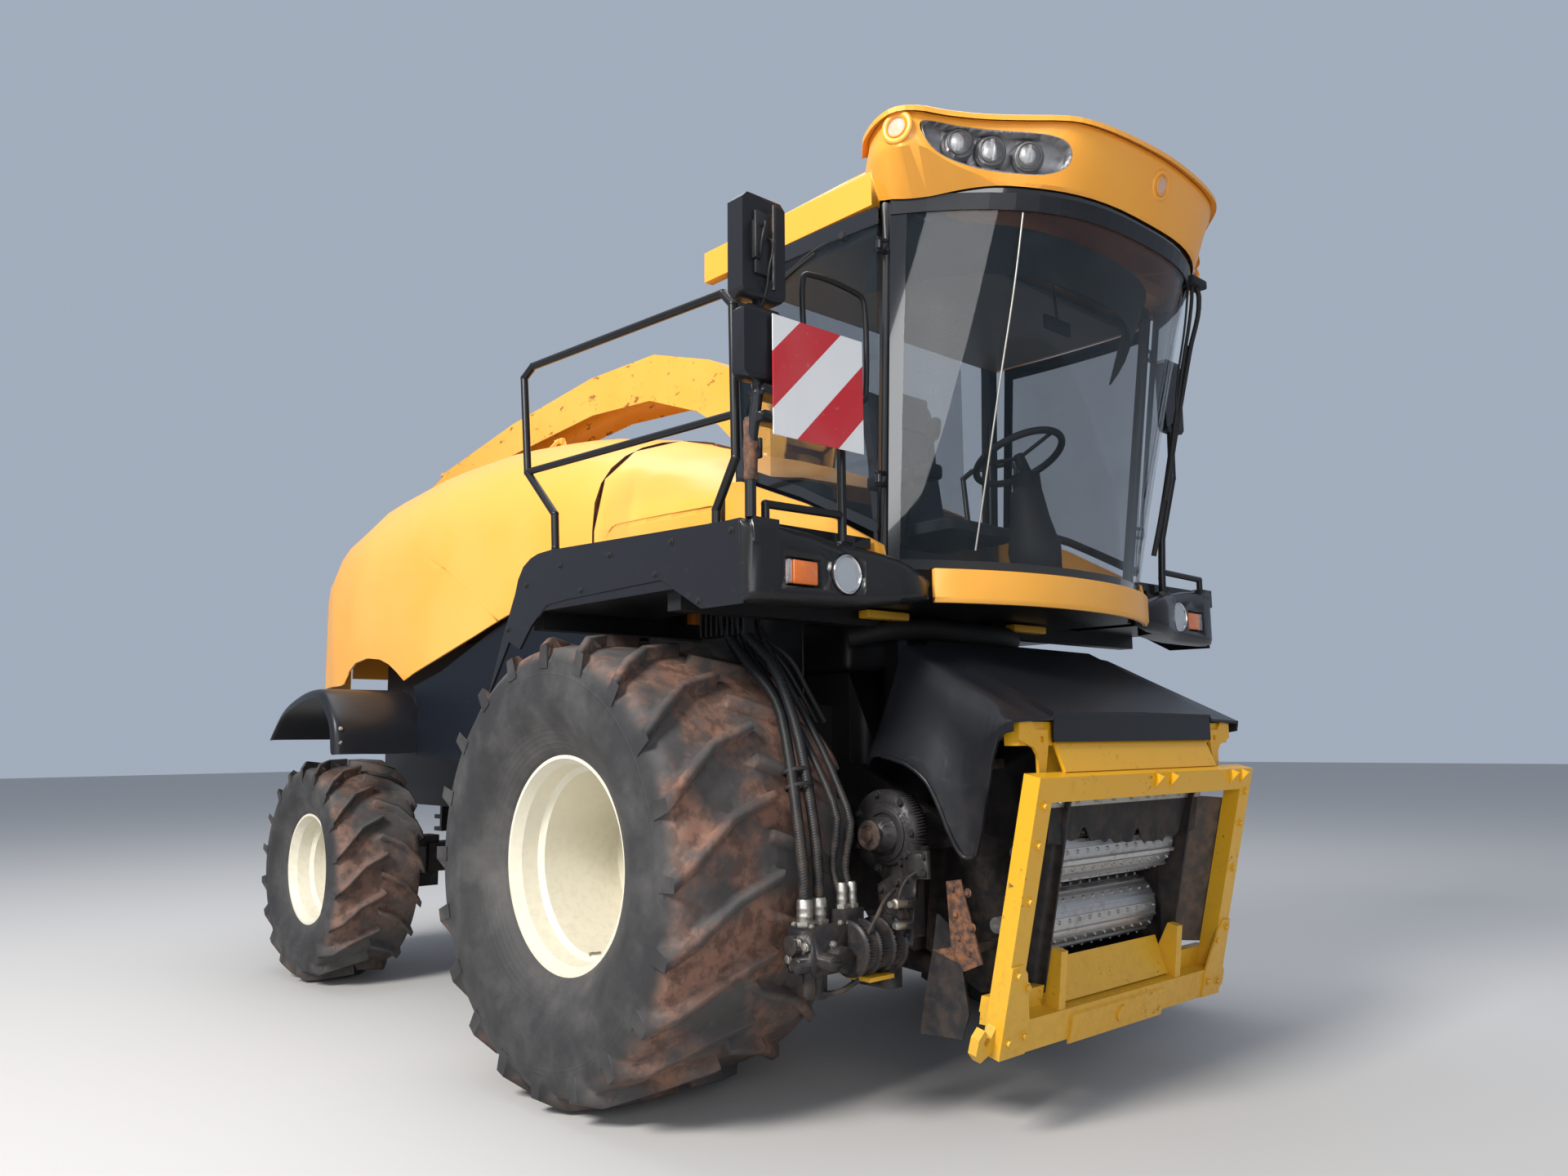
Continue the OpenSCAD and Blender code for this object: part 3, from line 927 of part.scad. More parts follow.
// side wall of the feeder hood from rear to front: x, y, z at the shoulder, then x, y, z at the lower edge;
// y is measured from the half width of the header frame
hood_cols = [[[1030, -50, 1772], [880, 8, 1300]], [[1060, -46, 1757], [935, 36, 1338]], [[1120, -38,
  1727], [1030, 46, 1335]],
  [[1200, -28, 1686], [1150, 48, 1299]], [[1280, -15, 1645], [1240, 46, 1222]], [[1340, -5, 1615], [1292,
    25, 1085]],
  [[1400, 7, 1584], [1312, -15, 990]], [[1470, 18, 1549], [1385, -25, 985]], [[1540, 32, 1513], [1455, 0,
    1190]],
  [[1600, 44, 1482], [1525, 28, 1392]], [[1617, 48, 1474], [1612, 44, 1430]]];
hood_rise = [[0, 0], [0.3, 0.12], [0.6, 0.5], [0.85, 0.95], [1, 1]];      // bulge of the wall over the arch
panel_half = 595;                             // half the raised panel on top of the hood
function panel_z(x) = 1800 - (x - 1030)*0.511;
// path over the hood at row s: t inwards
function hood_path(s, t) = let(c = [for (k = [0, 1]) curve([for (q = hood_cols) q[k]], s)], x = c[0][0],
  z = panel_z(x) - t,
  left = concat([for (r = [0.55, 0]) [x, panel_half - 12 + 12*r/0.55 - t*0.3, z - 18*r/0.55]],
    [[x, (panel_half + frame_half + c[0][1])/2 - t*0.5, (z - 18 + c[0][2] - t)/2], [x,
      frame_half + c[0][1] - t, c[0][2] - t]],
    [for (k = [1:4]) let(f = hood_rise[k][0], g = hood_rise[k][1]) [c[0][0] + (c[1][0] - c[0][0])*f,
      frame_half - t + c[0][1] + (c[1][1] - c[0][1])*g, c[0][2] + (c[1][2] - c[0][2])*f]]),
  sorted = concat([left[1], left[0]], [for (k = [2:len(left)-1]) left[k]]))
  concat([for (k = [len(sorted)-1:-1:0]) [sorted[k][0], -sorted[k][1], sorted[k][2]]], [[x, 0, z + 5]],
    sorted);
module feeder_hood() color(black) at_axle() union() {
  rows = [for (k = [0:20]) k/2];
  skin([for (s = rows) hood_path(s, 0)], [for (s = rows) hood_path(s, 12)]);
  // front edge with its hanging strip, and the seats on the housing's arms
  box(1603, 1615, -panel_half + 14, panel_half - 14, 1392, 1497);
  both() box(1250, 1288, hood_in, hood_in + 78, 1288, 1332);
}
module header_frame() color(yellow) at_axle() union() {
  lean() {
    both() box(0, frame_deep, frame_half - frame_bar, frame_half, 0, frame_h);
    box(0, frame_deep, -frame_half + 1, frame_half - 1, frame_h - frame_bar, frame_h);
    box(0, frame_deep, -frame_half + 1, frame_half - 1, 0, 120);
    // raised plate and flange on the lower beam, ribs under the upper edge
    side_plate([[frame_deep - 1, 100], [frame_deep + 10, 94], [frame_deep + 10, -14], [frame_deep - 1,
      -20]], -360, 300);
    xcyl(-20, 46, 64, frame_deep, frame_deep + 18);
    for (y = [-16, 96, 596, 686]) side_plate([[frame_deep - 1, frame_h - 1], [frame_deep + 34,
      frame_h - 8], [frame_deep - 1, frame_h - 66]], y, y + 14);
    both() {
      // corner plates, wedges and hooks
      end_plate([[frame_half, 0], [frame_half, 330], [frame_half - 60, 334], [frame_half - 94, 300],
        [frame_half - 150, 118],
        [frame_half - 150, 1]], frame_deep - 1, frame_deep + 8);
      side_plate([[-60, 110], [66, 110], [40, 330], [-5, 330]], throat_half - 50, throat_half - 8);
      end_plate([[frame_half - 1, 20], [frame_half + 62, -8], [frame_half + 92, 22], [frame_half + 88,
        78], [frame_half + 62, 108],
        [frame_half + 42, 90], [frame_half + 58, 62], [frame_half + 40, 44], [frame_half + 22, 70],
          [frame_half - 1, 112]], 10, 46);
    }
  }
  // upper cross bar with its cheeks and the sloping sheet between them
  box(1530, 1590, -frame_half + 20, frame_half - 20, 1380, 1465);
  side_plate([[1589, 1388], [1600, 1392], [1644, 1284], [1630, 1280]], -frame_half + 230, frame_half - 230);
  both() difference() {
    end_plate([[frame_half - 15, 1400], [frame_half - 15, 1462], [frame_half - 90, 1470],
      [frame_half - 118, 1436],
      [frame_half - 188, 1436], [frame_half - 188, 1380], [frame_half - 168, 1280], [frame_half - 125,
        1280],
      [frame_half - 122, 1345], [frame_half - 100, 1372]], 1589, 1601);
    xcyl(frame_half - 150, 1402, 24, 1580, 1610);
  }
  both() side_plate([[1500, 1180], [1606, 1180], [1630, 1270], [1590, 1300], [1590, 1460], [1530, 1460]],
    throat_half + plate_t, throat_half + plate_t + 24);
  // lower seats on the housing
  both() side_plate([[1380, 400], [1425, 400], [1447, 500], [1394, 500]], throat_half + plate_t,
    frame_half - 20);
  both() side_plate([[1380, 441], [1394, 500], [1447, 500], [1440, 470]], throat_half + plate_t,
    frame_half - 20);
}
module drum(x, z, d, half) union() {
  ycyl(x, z, d, -half, half);
  ycyl(x, z, roll_shaft_d, -throat_half - 60, throat_half + 60);
}
module feed_roll_upper() color(steel) at_axle() union() {
  drum(up_x, up_z, upper_roll_d, throat_half - 12);
  for (i = [0:roll_bars-1]) translate([up_x, 0, up_z]) rotate([0, i*360/roll_bars, 0])
    box(-7, 7, -throat_half + 14, throat_half - 14, upper_roll_d/2 - 4, upper_roll_d/2 + 14);
}
module feed_roll_lower() color(steel) at_axle() union() {
  drum(lo_x, lo_z, lower_roll_d, throat_half - 12);
  for (i = [0:roll_bars-1]) translate([lo_x, 0, lo_z]) rotate([0, i*360/roll_bars, 0])
    box(-6, 6, -throat_half + 14, throat_half - 14, lower_roll_d/2 - 4, lower_roll_d/2 + 8);
}

// lift cylinders between the front axle and the feed housing
rod_x = 1250; rod_z = 450;
lift_len = norm([rod_x - lift_x, rod_z - lift_z]);
// frame along a lift cylinder: Z from the barrel's pin to the rod's eye, Y as the machine's
module on_cylinder(s) translate([lift_x, s*lift_y, lift_z]) rotate([0, 90 + atan2(lift_z - rod_z,
  rod_x - lift_x), 0]) children();
module lift_barrels() color(dark) at_axle() for (s = [-1, 1]) on_cylinder(s) difference() {
  union() {
    ycyl(0, 0, 96, -22, 22);
    translate([0, 0, 80]) cylinder(d = lift_d, h = 690);
    translate([0, 0, 20]) cylinder(d = 40, h = 80);
  }
  ycyl(0, 0, lift_pin + 2*gap, -30, 30);
  translate([0, 0, 440]) cylinder(d = lift_rod_d + 12, h = 300);
  translate([0, 0, 430]) cylinder(d = lift_rod_d + 2*gap, h = 360);
}
module lift_rods() color(steel) at_axle() for (s = [-1, 1]) on_cylinder(s) difference() {
  union() {
    translate([0, 0, 470]) cylinder(d = lift_rod_d, h = lift_len - 500);
    ycyl(0, lift_len, 108, -20, 20);
  }
  ycyl(0, lift_len, lift_pin + 14, -30, 30);
}

main_frame();
front_axle();
rear_axle();
engine();
chopper_housing();
platforms();
lamps();
handrails();
mirrors();
warning_board();
cab_frame();
cab_belt();
cab_glass();
door_left();
door_right();
roof();
cab_interior();
hood_centre();
hood_left();
hood_right();
skirts();
rear_fenders();
spout_turret();
spout();
spout_flap();
header_drive();
hoses();
feeder_housing();
feeder_hood();
header_frame();
feed_roll_upper();
feed_roll_lower();
lift_barrels();
lift_rods();
knuckle_left();
knuckle_right();
rim_front_left();
tyre_front_left();
rim_front_right();
tyre_front_right();
rim_rear_left();
tyre_rear_left();
rim_rear_right();
tyre_rear_right();
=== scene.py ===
"""Dresses the forage harvester: finishes for every node, and small pieces beside the solids."""

import json
import logging
import math
from contextlib import contextmanager
from dataclasses import dataclass, field
from enum import Enum
from typing import Any, Callable, Iterable, Iterator, Optional, Sequence, Union

import bmesh
import bpy
from mathutils import Matrix, Vector

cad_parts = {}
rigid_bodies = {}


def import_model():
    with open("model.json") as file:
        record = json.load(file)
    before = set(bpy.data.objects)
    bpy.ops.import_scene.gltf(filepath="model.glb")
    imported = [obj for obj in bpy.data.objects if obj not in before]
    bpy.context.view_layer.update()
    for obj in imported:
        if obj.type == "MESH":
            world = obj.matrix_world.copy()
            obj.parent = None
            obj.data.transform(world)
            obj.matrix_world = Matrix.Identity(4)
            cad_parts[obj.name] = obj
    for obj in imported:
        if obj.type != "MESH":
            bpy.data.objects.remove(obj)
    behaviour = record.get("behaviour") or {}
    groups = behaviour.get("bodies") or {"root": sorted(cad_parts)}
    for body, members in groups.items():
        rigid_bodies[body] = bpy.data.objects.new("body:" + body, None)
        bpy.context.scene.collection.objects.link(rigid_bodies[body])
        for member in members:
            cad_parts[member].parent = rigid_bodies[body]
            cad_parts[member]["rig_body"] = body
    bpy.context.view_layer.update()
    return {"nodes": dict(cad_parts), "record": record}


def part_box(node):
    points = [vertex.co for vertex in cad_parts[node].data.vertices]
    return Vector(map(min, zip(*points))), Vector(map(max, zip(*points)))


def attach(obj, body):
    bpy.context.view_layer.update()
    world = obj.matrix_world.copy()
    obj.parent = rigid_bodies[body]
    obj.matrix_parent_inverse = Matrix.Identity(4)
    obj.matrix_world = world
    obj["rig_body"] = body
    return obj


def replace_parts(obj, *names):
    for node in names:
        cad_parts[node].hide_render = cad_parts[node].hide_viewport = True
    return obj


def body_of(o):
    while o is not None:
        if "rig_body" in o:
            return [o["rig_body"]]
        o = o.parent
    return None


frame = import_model()

log = logging.getLogger("harvester")
Triple = tuple[float, float, float]
Piece = bpy.types.Object
Number = Union[float, "Field"]


def srgb(red: int, green: int, blue: int) -> Triple:
    """Linear colour of an 8-bit screen colour.

    Args:
        red: 0 to 255.
        green: 0 to 255.
        blue: 0 to 255.

    Returns:
        The linear red, green and blue shares.
    """
    def linear(value: int) -> float:
        """Linear share of one 8-bit value."""
        share = value / 255
        return share / 12.92 if share <= 0.04045 else ((share + 0.055) / 1.055) ** 2.4
    return linear(red), linear(green), linear(blue)


class Field:
    """A shader socket that takes part in Python arithmetic."""

    def __init__(self, net: "Net", socket: bpy.types.NodeSocket) -> None:
        """Keeps the socket and the net that it belongs to."""
        self.net = net
        self.socket = socket

    def _join(self, operation: str, first: Number, second: Number) -> "Field":
        """Adds one Math node on two values."""
        return self.net.math(operation, first, second)

    def __add__(self, other: Number) -> "Field":
        """Sum."""
        return self._join("ADD", self, other)

    def __radd__(self, other: Number) -> "Field":
        """Sum with a number in front."""
        return self._join("ADD", other, self)

    def __sub__(self, other: Number) -> "Field":
        """Difference."""
        return self._join("SUBTRACT", self, other)

    def __rsub__(self, other: Number) -> "Field":
        """Difference from a number."""
        return self._join("SUBTRACT", other, self)

    def __mul__(self, other: Number) -> "Field":
        """Product."""
        return self._join("MULTIPLY", self, other)

    def __rmul__(self, other: Number) -> "Field":
        """Product with a number in front."""
        return self._join("MULTIPLY", other, self)

    def __truediv__(self, other: Number) -> "Field":
        """Quotient."""
        return self._join("DIVIDE", self, other)

    def above(self, edge: Number) -> "Field":
        """1 where the value is over the edge, else 0."""
        return self._join("GREATER_THAN", self, edge)

    def size(self) -> "Field":
        """Absolute value."""
        return self.net.math("ABSOLUTE", self)

    def step(self, low: float, high: float) -> "Field":
        """Smooth rise from 0 at low to 1 at high.

        Args:
            low: Value where the result is 0.
            high: Value where the result is 1; it may be the smaller one.

        Returns:
            The clamped ramp.
        """
        node = self.net.add("ShaderNodeMapRange", {"interpolation_type": "SMOOTHSTEP"},
                            {"Value": self, "From Min": low, "From Max": high})
        return Field(self.net, node.outputs["Result"])


class Net:
    """The node tree of one material, with its Principled shader."""

    def __init__(self, name: str) -> None:
        """Makes an empty material with a Principled shader and an output.

        Args:
            name: The material's name.
        """
        self.material = bpy.data.materials.new(name)
        self.material.use_nodes = True
        self.tree = self.material.node_tree
        self.shader = self.tree.nodes["Principled BSDF"]
        self._place: Optional[tuple[Field, Field, Field]] = None

    def add(self, kind: str, settings: Optional[dict[str, Any]] = None,
            values: Optional[dict[Union[str, int], Any]] = None) -> bpy.types.Node:
        """Adds one node.

        Args:
            kind: The node's type.
            settings: Attributes of the node, set first.
            values: Numbers, colours or links for its inputs, by name or index.

        Returns:
            The node.
        """
        node = self.tree.nodes.new(kind)
        for name, value in (settings or {}).items():
            setattr(node, name, value)
        for name, value in (values or {}).items():
            self.put(node.inputs[name], value)
        return node

    def put(self, socket: bpy.types.NodeSocket, value: Any) -> None:
        """Sets a socket to a number or colour, or links it.

        Args:
            socket: The input.
            value: A number, a colour, another node's output or a Field.
        """
        source = value.socket if isinstance(value, Field) else value
        if isinstance(source, bpy.types.NodeSocket):
            self.tree.links.new(source, socket)
        elif isinstance(value, (tuple, list)) and len(value) == 3 and socket.type == "RGBA":
            socket.default_value = (*value, 1.0)
        else:
            socket.default_value = value

    def math(self, operation: str, *values: Number) -> Field:
        """One Math node on the given values."""
        node = self.add("ShaderNodeMath", {"operation": operation}, dict(enumerate(values)))
        return Field(self, node.outputs[0])

    def place(self) -> tuple[Field, Field, Field]:
        """The shaded point.

        Returns:
            Its x, y and z in metres, in the machine's frame.
        """
        if self._place is None:
            coordinates = self.add("ShaderNodeTexCoord")
            parts = self.add("ShaderNodeSeparateXYZ", None, {0: coordinates.outputs["Object"]})
            self._place = tuple(Field(self, parts.outputs[axis]) for axis in range(3))
        return self._place

    def vector(self, x: Number, y: Number, z: Number) -> bpy.types.NodeSocket:
        """A vector from three values."""
        return self.add("ShaderNodeCombineXYZ", None, {0: x, 1: y, 2: z}).outputs[0]

    def noise(self, scale: float, detail: float = 4.0, roughness: float = 0.55,
              stretch: Triple = (1.0, 1.0, 1.0)) -> Field:
        """Noise in the machine's frame.

        Args:
            scale: Cells for each metre.
            detail: Octaves.
            roughness: Share of the fine octaves.
            stretch: Factors on x, y and z before the lookup.

        Returns:
            The noise value, about 0 to 1.
        """
        x, y, z = self.place()
        point = self.vector(x * stretch[0], y * stretch[1], z * stretch[2])
        node = self.add("ShaderNodeTexNoise", None,
                        {"Vector": point, "Scale": scale, "Detail": detail, "Roughness": roughness})
        return Field(self, node.outputs[0])

    def mix(self, share: Number, first: Any, second: Any) -> bpy.types.NodeSocket:
        """Mixes two colours.

        Args:
            share: 0 for the first one, 1 for the second one.
            first: A colour or a node's output.
            second: Another one.

        Returns:
            The mixed colour's output.
        """
        node = self.add("ShaderNodeMix", {"data_type": "RGBA"})
        self.put(node.inputs["Factor"], share)
        self.put(node.inputs[6], first)
        self.put(node.inputs[7], second)
        return node.outputs[2]

    def bump(self, height: Field, depth: float, strength: float = 1.0) -> None:
        """Feeds a height in metres to the shader's normal.

        Args:
            height: Height share, 0 to 1.
            depth: Metres that a height of 1 stands for.
            strength: Strength of the effect.
        """
        node = self.add("ShaderNodeBump", None,
                        {"Height": height, "Distance": depth, "Strength": strength})
        self.put(self.shader.inputs["Normal"], node.outputs[0])

    def set(self, **values: Any) -> None:
        """Sets the shader's sockets, named with underscores for spaces."""
        for name, value in values.items():
            self.put(self.shader.inputs[name.replace("_", " ")], value)


MM = 0.001
FRONT_AXLE = 1.3575
HOOD_SEAM = FRONT_AXLE - 0.752  # x of the gap between the hoods' front and rear panels
WAVE = 6.2832  # one turn of a sine, in radians
UP: Triple = (0, 0, 1)
RIGHTWARD: Triple = (0, -1, 0)
SIDES = (("left", 1), ("right", -1))


def spot(x: float, y: float, z: float) -> Vector:
    """A point in metres from millimetres ahead of the front axle, to the left and upwards."""
    return Vector((x * MM + FRONT_AXLE, y * MM, z * MM))


def body_name(node: str) -> str:
    """The body that a CAD node rides on."""
    return body_of(frame["nodes"][node])[0]


@dataclass(frozen=True)
class PaintFinish:
    """Glossy paint with slow fading and dust below, and where asked chips, rust and a seam."""

    name: str
    colour: Triple
    faded: Triple
    dust: Triple = (0.20, 0.12, 0.07)
    roughness: float = 0.34
    dust_top: float = 1.3
    dust_share: float = 0.35
    chips: float = 0.0
    bare: Triple = (0.06, 0.035, 0.025)
    top_fade: float = 0.0
    seams: bool = False
    rust: float = 0.0
    rust_tone: Triple = (0.13, 0.035, 0.015)
    gap_tone: Triple = (0.035, 0.012, 0.006)

    def build(self) -> bpy.types.Material:
        """Makes the material.

        Returns:
            The material.
        """
        net = Net(self.name)
        _, _, z = net.place()
        slow = net.noise(0.9, 3.0)
        fine = net.noise(28.0, 6.0, 0.65)
        low = z.step(self.dust_top, self.dust_top - 1.0)
        grime = (fine.step(0.42, 0.72) * 0.6 + 0.4) * low * self.dust_share
        colour = net.mix(slow.step(0.35, 0.7) * 0.8, self.colour, self.faded)
        if self.top_fade > 0:
            colour = net.mix(z.step(2.3, 3.2) * self.top_fade, colour, self.faded)
        colour = net.mix(grime, colour, self.dust)
        gloss = self.roughness + fine * 0.10 + grime * 0.5
        if self.chips > 0:
            patch = net.noise(5.0, 4.0, 0.6).step(0.50, 0.72)
            edge = 0.66 - self.chips * 0.05
            chip = net.noise(46.0, 5.0, 0.62).step(edge, edge + 0.03) * patch
            smear = net.noise(9.0, 7.0, 0.7, (1.0, 1.0, 0.35)).step(0.56, 0.78) * 0.45
            colour = net.mix(smear, colour, tuple(c * 0.45 for c in self.faded))
            colour = net.mix(chip, colour, self.bare)
            gloss = gloss + chip * 0.25 + smear * 0.15
        if self.rust > 0:
            spots = net.noise(7.0, 6.0, 0.66, (1.0, 1.0, 2.2)).step(0.60, 0.65) * self.rust
            colour = net.mix(spots, colour, self.rust_tone)
            gloss = gloss + spots * 0.3
        if self.seams:
            x, _, _ = net.place()
            seam = (x - HOOD_SEAM).size().step(0.011, 0.008)
            colour = net.mix(seam, colour, self.gap_tone)
        net.set(Base_Color=colour, Roughness=gloss, Coat_Weight=0.12, Coat_Roughness=0.2)
        net.bump(fine, 0.0003, 0.3)
        return net.material


@dataclass(frozen=True)
class PlasticFinish:
    """Moulded or satin-coated dark surface with grain, dust and pale scuffs."""

    name: str
    colour: Triple
    roughness: float = 0.5
    grain: float = 900.0
    grain_depth: float = 0.0003
    scuffs: float = 0.25
    dust: Triple = (0.20, 0.13, 0.085)
    dust_top: float = 1.6
    dust_share: float = 0.3
    rings: float = 0.0
    shine: float = 0.32

    def build(self) -> bpy.types.Material:
        """Makes the material.

        Returns:
            The material.
        """
        net = Net(self.name)
        x, _, z = net.place()
        grain = net.noise(self.grain, 2.0, 0.5)
        scuff = net.noise(9.0, 8.0, 0.72, (1.0, 1.0, 3.0)).step(0.58, 0.76) * self.scuffs
        low = z.step(self.dust_top, self.dust_top - 1.1)
        grime = net.noise(17.0, 6.0, 0.62).step(0.36, 0.7) * low * self.dust_share
        pale = tuple(min(1.0, c * 2.2 + 0.03) for c in self.colour)
        colour = net.mix(scuff, self.colour, pale)
        colour = net.mix(grime, colour, self.dust)
        net.set(Base_Color=colour, Roughness=self.roughness + scuff * 0.35 + grime * 0.4,
                Specular_IOR_Level=self.shine)
        if self.rings > 0:
            wave = net.math("SINE", (z - x * 0.55) * (WAVE / self.rings))
            net.bump(wave * 0.5 + grain * 0.2, 0.0011, 0.7)
        else:
            net.bump(grain + scuff * 0.4, self.grain_depth, 0.5)
        return net.material


@dataclass(frozen=True)
class TyreFinish:
    """Worn tyre rubber with dried brown mud on the tread."""

    name: str
    centre: Triple
    radius: float
    width: float
    rim: float
    rubber: Triple = (0.018, 0.018, 0.020)
    mud: Triple = (0.250, 0.120, 0.076)
    pale: Triple = (0.150, 0.140, 0.132)
    mud_share: float = 0.8

    def build(self) -> bpy.types.Material:
        """Makes the material.

        Returns:
            The material.
        """
        net = Net(self.name)
        x, y, z = net.place()
        across = x - self.centre[0]
        up = z - self.centre[2]
        reach = net.math("SQRT", across * across + up * up)
        side = (y - self.centre[1]).size()
        tread = (reach.step(self.radius - 0.13, self.radius - 0.07)
                 * side.step(self.width * 0.50, self.width * 0.44))
        patch = net.noise(2.6, 5.0, 0.60).step(0.42, 0.60)
        crust = net.noise(15.0, 7.0, 0.62)
        worn = reach.step(self.radius - 0.03, self.radius - 0.006) * 0.55
        mud = (tread * (patch * 0.85 + crust.step(0.48, 0.72) * 0.25) * (1.0 - worn * 0.6)
               * self.mud_share)
        film = net.noise(4.0, 6.0, 0.62).step(0.38, 0.78) * 0.34 + tread * 0.22
        ring = reach.step(self.rim + 0.12, self.rim + 0.02) * 0.30
        colour = net.mix(film + ring * crust, self.rubber, self.pale)
        wet = tuple(c * 0.42 for c in self.mud)
        colour = net.mix(mud, colour, net.mix(crust.step(0.44, 0.60), self.mud, wet))
        # low moulded rings near the bead and at the shoulder
        rib = (net.math("SINE", reach * 330.0).step(0.2, 0.9)
               * reach.step(self.rim + 0.14, self.rim + 0.08))
        edge = (reach - (self.radius - 0.17)).size().step(0.006, 0.002)
        net.set(Base_Color=colour, Roughness=0.60 + crust * 0.2 + mud * 0.15)
        net.bump(crust * 0.5 + rib * 0.35 + edge * 0.5, 0.0026, 0.7)
        return net.material


class Border(Enum):
    """Which pane a glass finish is for, and so where its black printed edge runs."""

    NONE = "none"
    SCREEN = "screen"
    DOOR = "door"


@dataclass(frozen=True)
class GlassFinish:
    """Tinted glass that is seen through, with dust streaks and a black printed edge."""

    name: str
    tint: Triple = (0.004, 0.012, 0.018)
    cover: float = 0.25
    roughness: float = 0.03
    dust: float = 0.05
    border: Border = Border.NONE
    sill: float = 2.145
    tall: float = 1.345

    def edge(self, net: Net) -> Field:
        """Mask of the black printed edge.

        Args:
            net: The material's nodes.

        Returns:
            1 on the edge, else 0.
        """
        x, y, z = net.place()
        rise = (z - self.sill) / self.tall
        if self.border is Border.SCREEN:
            sides = (y.size() - (rise * 0.08 + 0.92 - 0.052)).step(0.0, 0.002)
            foot = z.step(2.096, 2.092)
            back = x.step(FRONT_AXLE + 0.6, FRONT_AXLE + 0.59)
            return net.math("MAXIMUM", net.math("MAXIMUM", sides, foot) * (1.0 - back),
                            z.step(3.44, 3.442) * (1.0 - back))
        plain = x - FRONT_AXLE
        upright = plain - rise * 0.110 * (plain - 0.22) / 0.89
        first = 2.600 - (plain - 0.3) * 0.4
        second = 2.440 - (plain - 0.7) * 0.512
        foot = (z - net.math("MINIMUM", first, second)).step(0.0, -0.002)
        ends = net.math("MAXIMUM", upright.step(1.084, 1.086), upright.step(0.334, 0.332))
        return net.math("MAXIMUM", net.math("MAXIMUM", foot, ends), z.step(3.388, 3.390))

    def build(self) -> bpy.types.Material:
        """Makes the material.

        Returns:
            The material.
        """
        net = Net(self.name)
        film = net.noise(5.0, 6.0, 0.65).step(0.45, 0.85) * self.dust
        streak = net.noise(7.0, 4.0, 0.6, (1.0, 1.0, 0.12)).step(0.58, 0.8) * self.dust
        colour = net.mix(film + streak, self.tint, (0.40, 0.40, 0.40))
        cover = film + streak + self.cover
        gloss = film * 0.5 + self.roughness
        if self.border is not Border.NONE:
            edge = self.edge(net)
            colour = net.mix(edge, colour, (0.008, 0.008, 0.009))
            cover = net.math("MAXIMUM", cover, edge)
            gloss = gloss + edge * 0.08
        net.set(Base_Color=colour, Roughness=gloss, Alpha=cover, Coat_Weight=1.0,
                Coat_Roughness=0.02)
        return net.material


@dataclass(frozen=True)
class MetalFinish:
    """Bare or plated metal with brushing and rust stains."""

    name: str
    colour: Triple
    roughness: float = 0.32
    stain: Triple = (0.16, 0.07, 0.035)
    stains: float = 0.35
    brushed: Triple = (1.0, 1.0, 1.0)

    def build(self) -> bpy.types.Material:
        """Makes the material.

        Returns:
            The material.
        """
        net = Net(self.name)
        line = net.noise(160.0, 3.0, 0.6, self.brushed)
        rusty = net.noise(14.0, 7.0, 0.68).step(0.48, 0.72) * self.stains
        net.set(Base_Color=net.mix(rusty, self.colour, self.stain), Metallic=1.0 - rusty * 0.9,
                Roughness=self.roughness + line * 0.18 + rusty * 0.35)
        net.bump(line, 0.0004, 0.4)
        return net.material


@dataclass(frozen=True)
class RustFinish:
    """Surface rust over dark steel."""

    name: str
    light: Triple = (0.20, 0.080, 0.034)
    dark: Triple = (0.045, 0.026, 0.020)

    def build(self) -> bpy.types.Material:
        """Makes the material.

        Returns:
            The material.
        """
        net = Net(self.name)
        flake = net.noise(34.0, 8.0, 0.7)
        net.set(Base_Color=net.mix(flake.step(0.38, 0.66), self.dark, self.light),
                Roughness=flake * 0.3 + 0.62)
        net.bump(flake, 0.0012, 0.7)
        return net.material


@dataclass(frozen=True)
class LensFinish:
    """Moulded lamp lens with fine ribs, clear or coloured."""

    name: str
    colour: Triple
    cover: float = 0.35
    ribs: float = 260.0
    dust: Triple = (0.45, 0.42, 0.38)

    def build(self) -> bpy.types.Material:
        """Makes the material.

        Returns:
            The material.
        """
        net = Net(self.name)
        _, y, z = net.place()
        rib = net.math("SINE", y * self.ribs * 2.0) * 0.5 + net.math("SINE", z * self.ribs) * 0.25
        film = net.noise(20.0, 5.0, 0.6).step(0.5, 0.8) * 0.12
        net.set(Base_Color=net.mix(film, self.colour, self.dust), Roughness=film + 0.06,
                Alpha=film + self.cover, Coat_Weight=1.0, Coat_Roughness=0.03)
        net.bump(rib, 0.0012, 0.5)
        return net.material


@dataclass(frozen=True)
class ClothFinish:
    """Woven seat cloth with a dusty wear."""

    name: str
    colour: Triple = (0.035, 0.038, 0.046)
    thread: float = 0.0028

    def build(self) -> bpy.types.Material:
        """Makes the material.

        Returns:
            The material.
        """
        net = Net(self.name)
        x, y, z = net.place()
        pitch = WAVE / self.thread
        weave = net.math("SINE", (x + z) * pitch) * net.math("SINE", y * pitch)
        worn = net.noise(6.0, 5.0, 0.6).step(0.45, 0.75) * 0.5
        pale = tuple(c * 2.2 + 0.01 for c in self.colour)
        net.set(Base_Color=net.mix(worn, self.colour, pale), Roughness=worn * 0.08 + 0.86)
        net.bump(weave, 0.0006, 0.6)
        return net.material


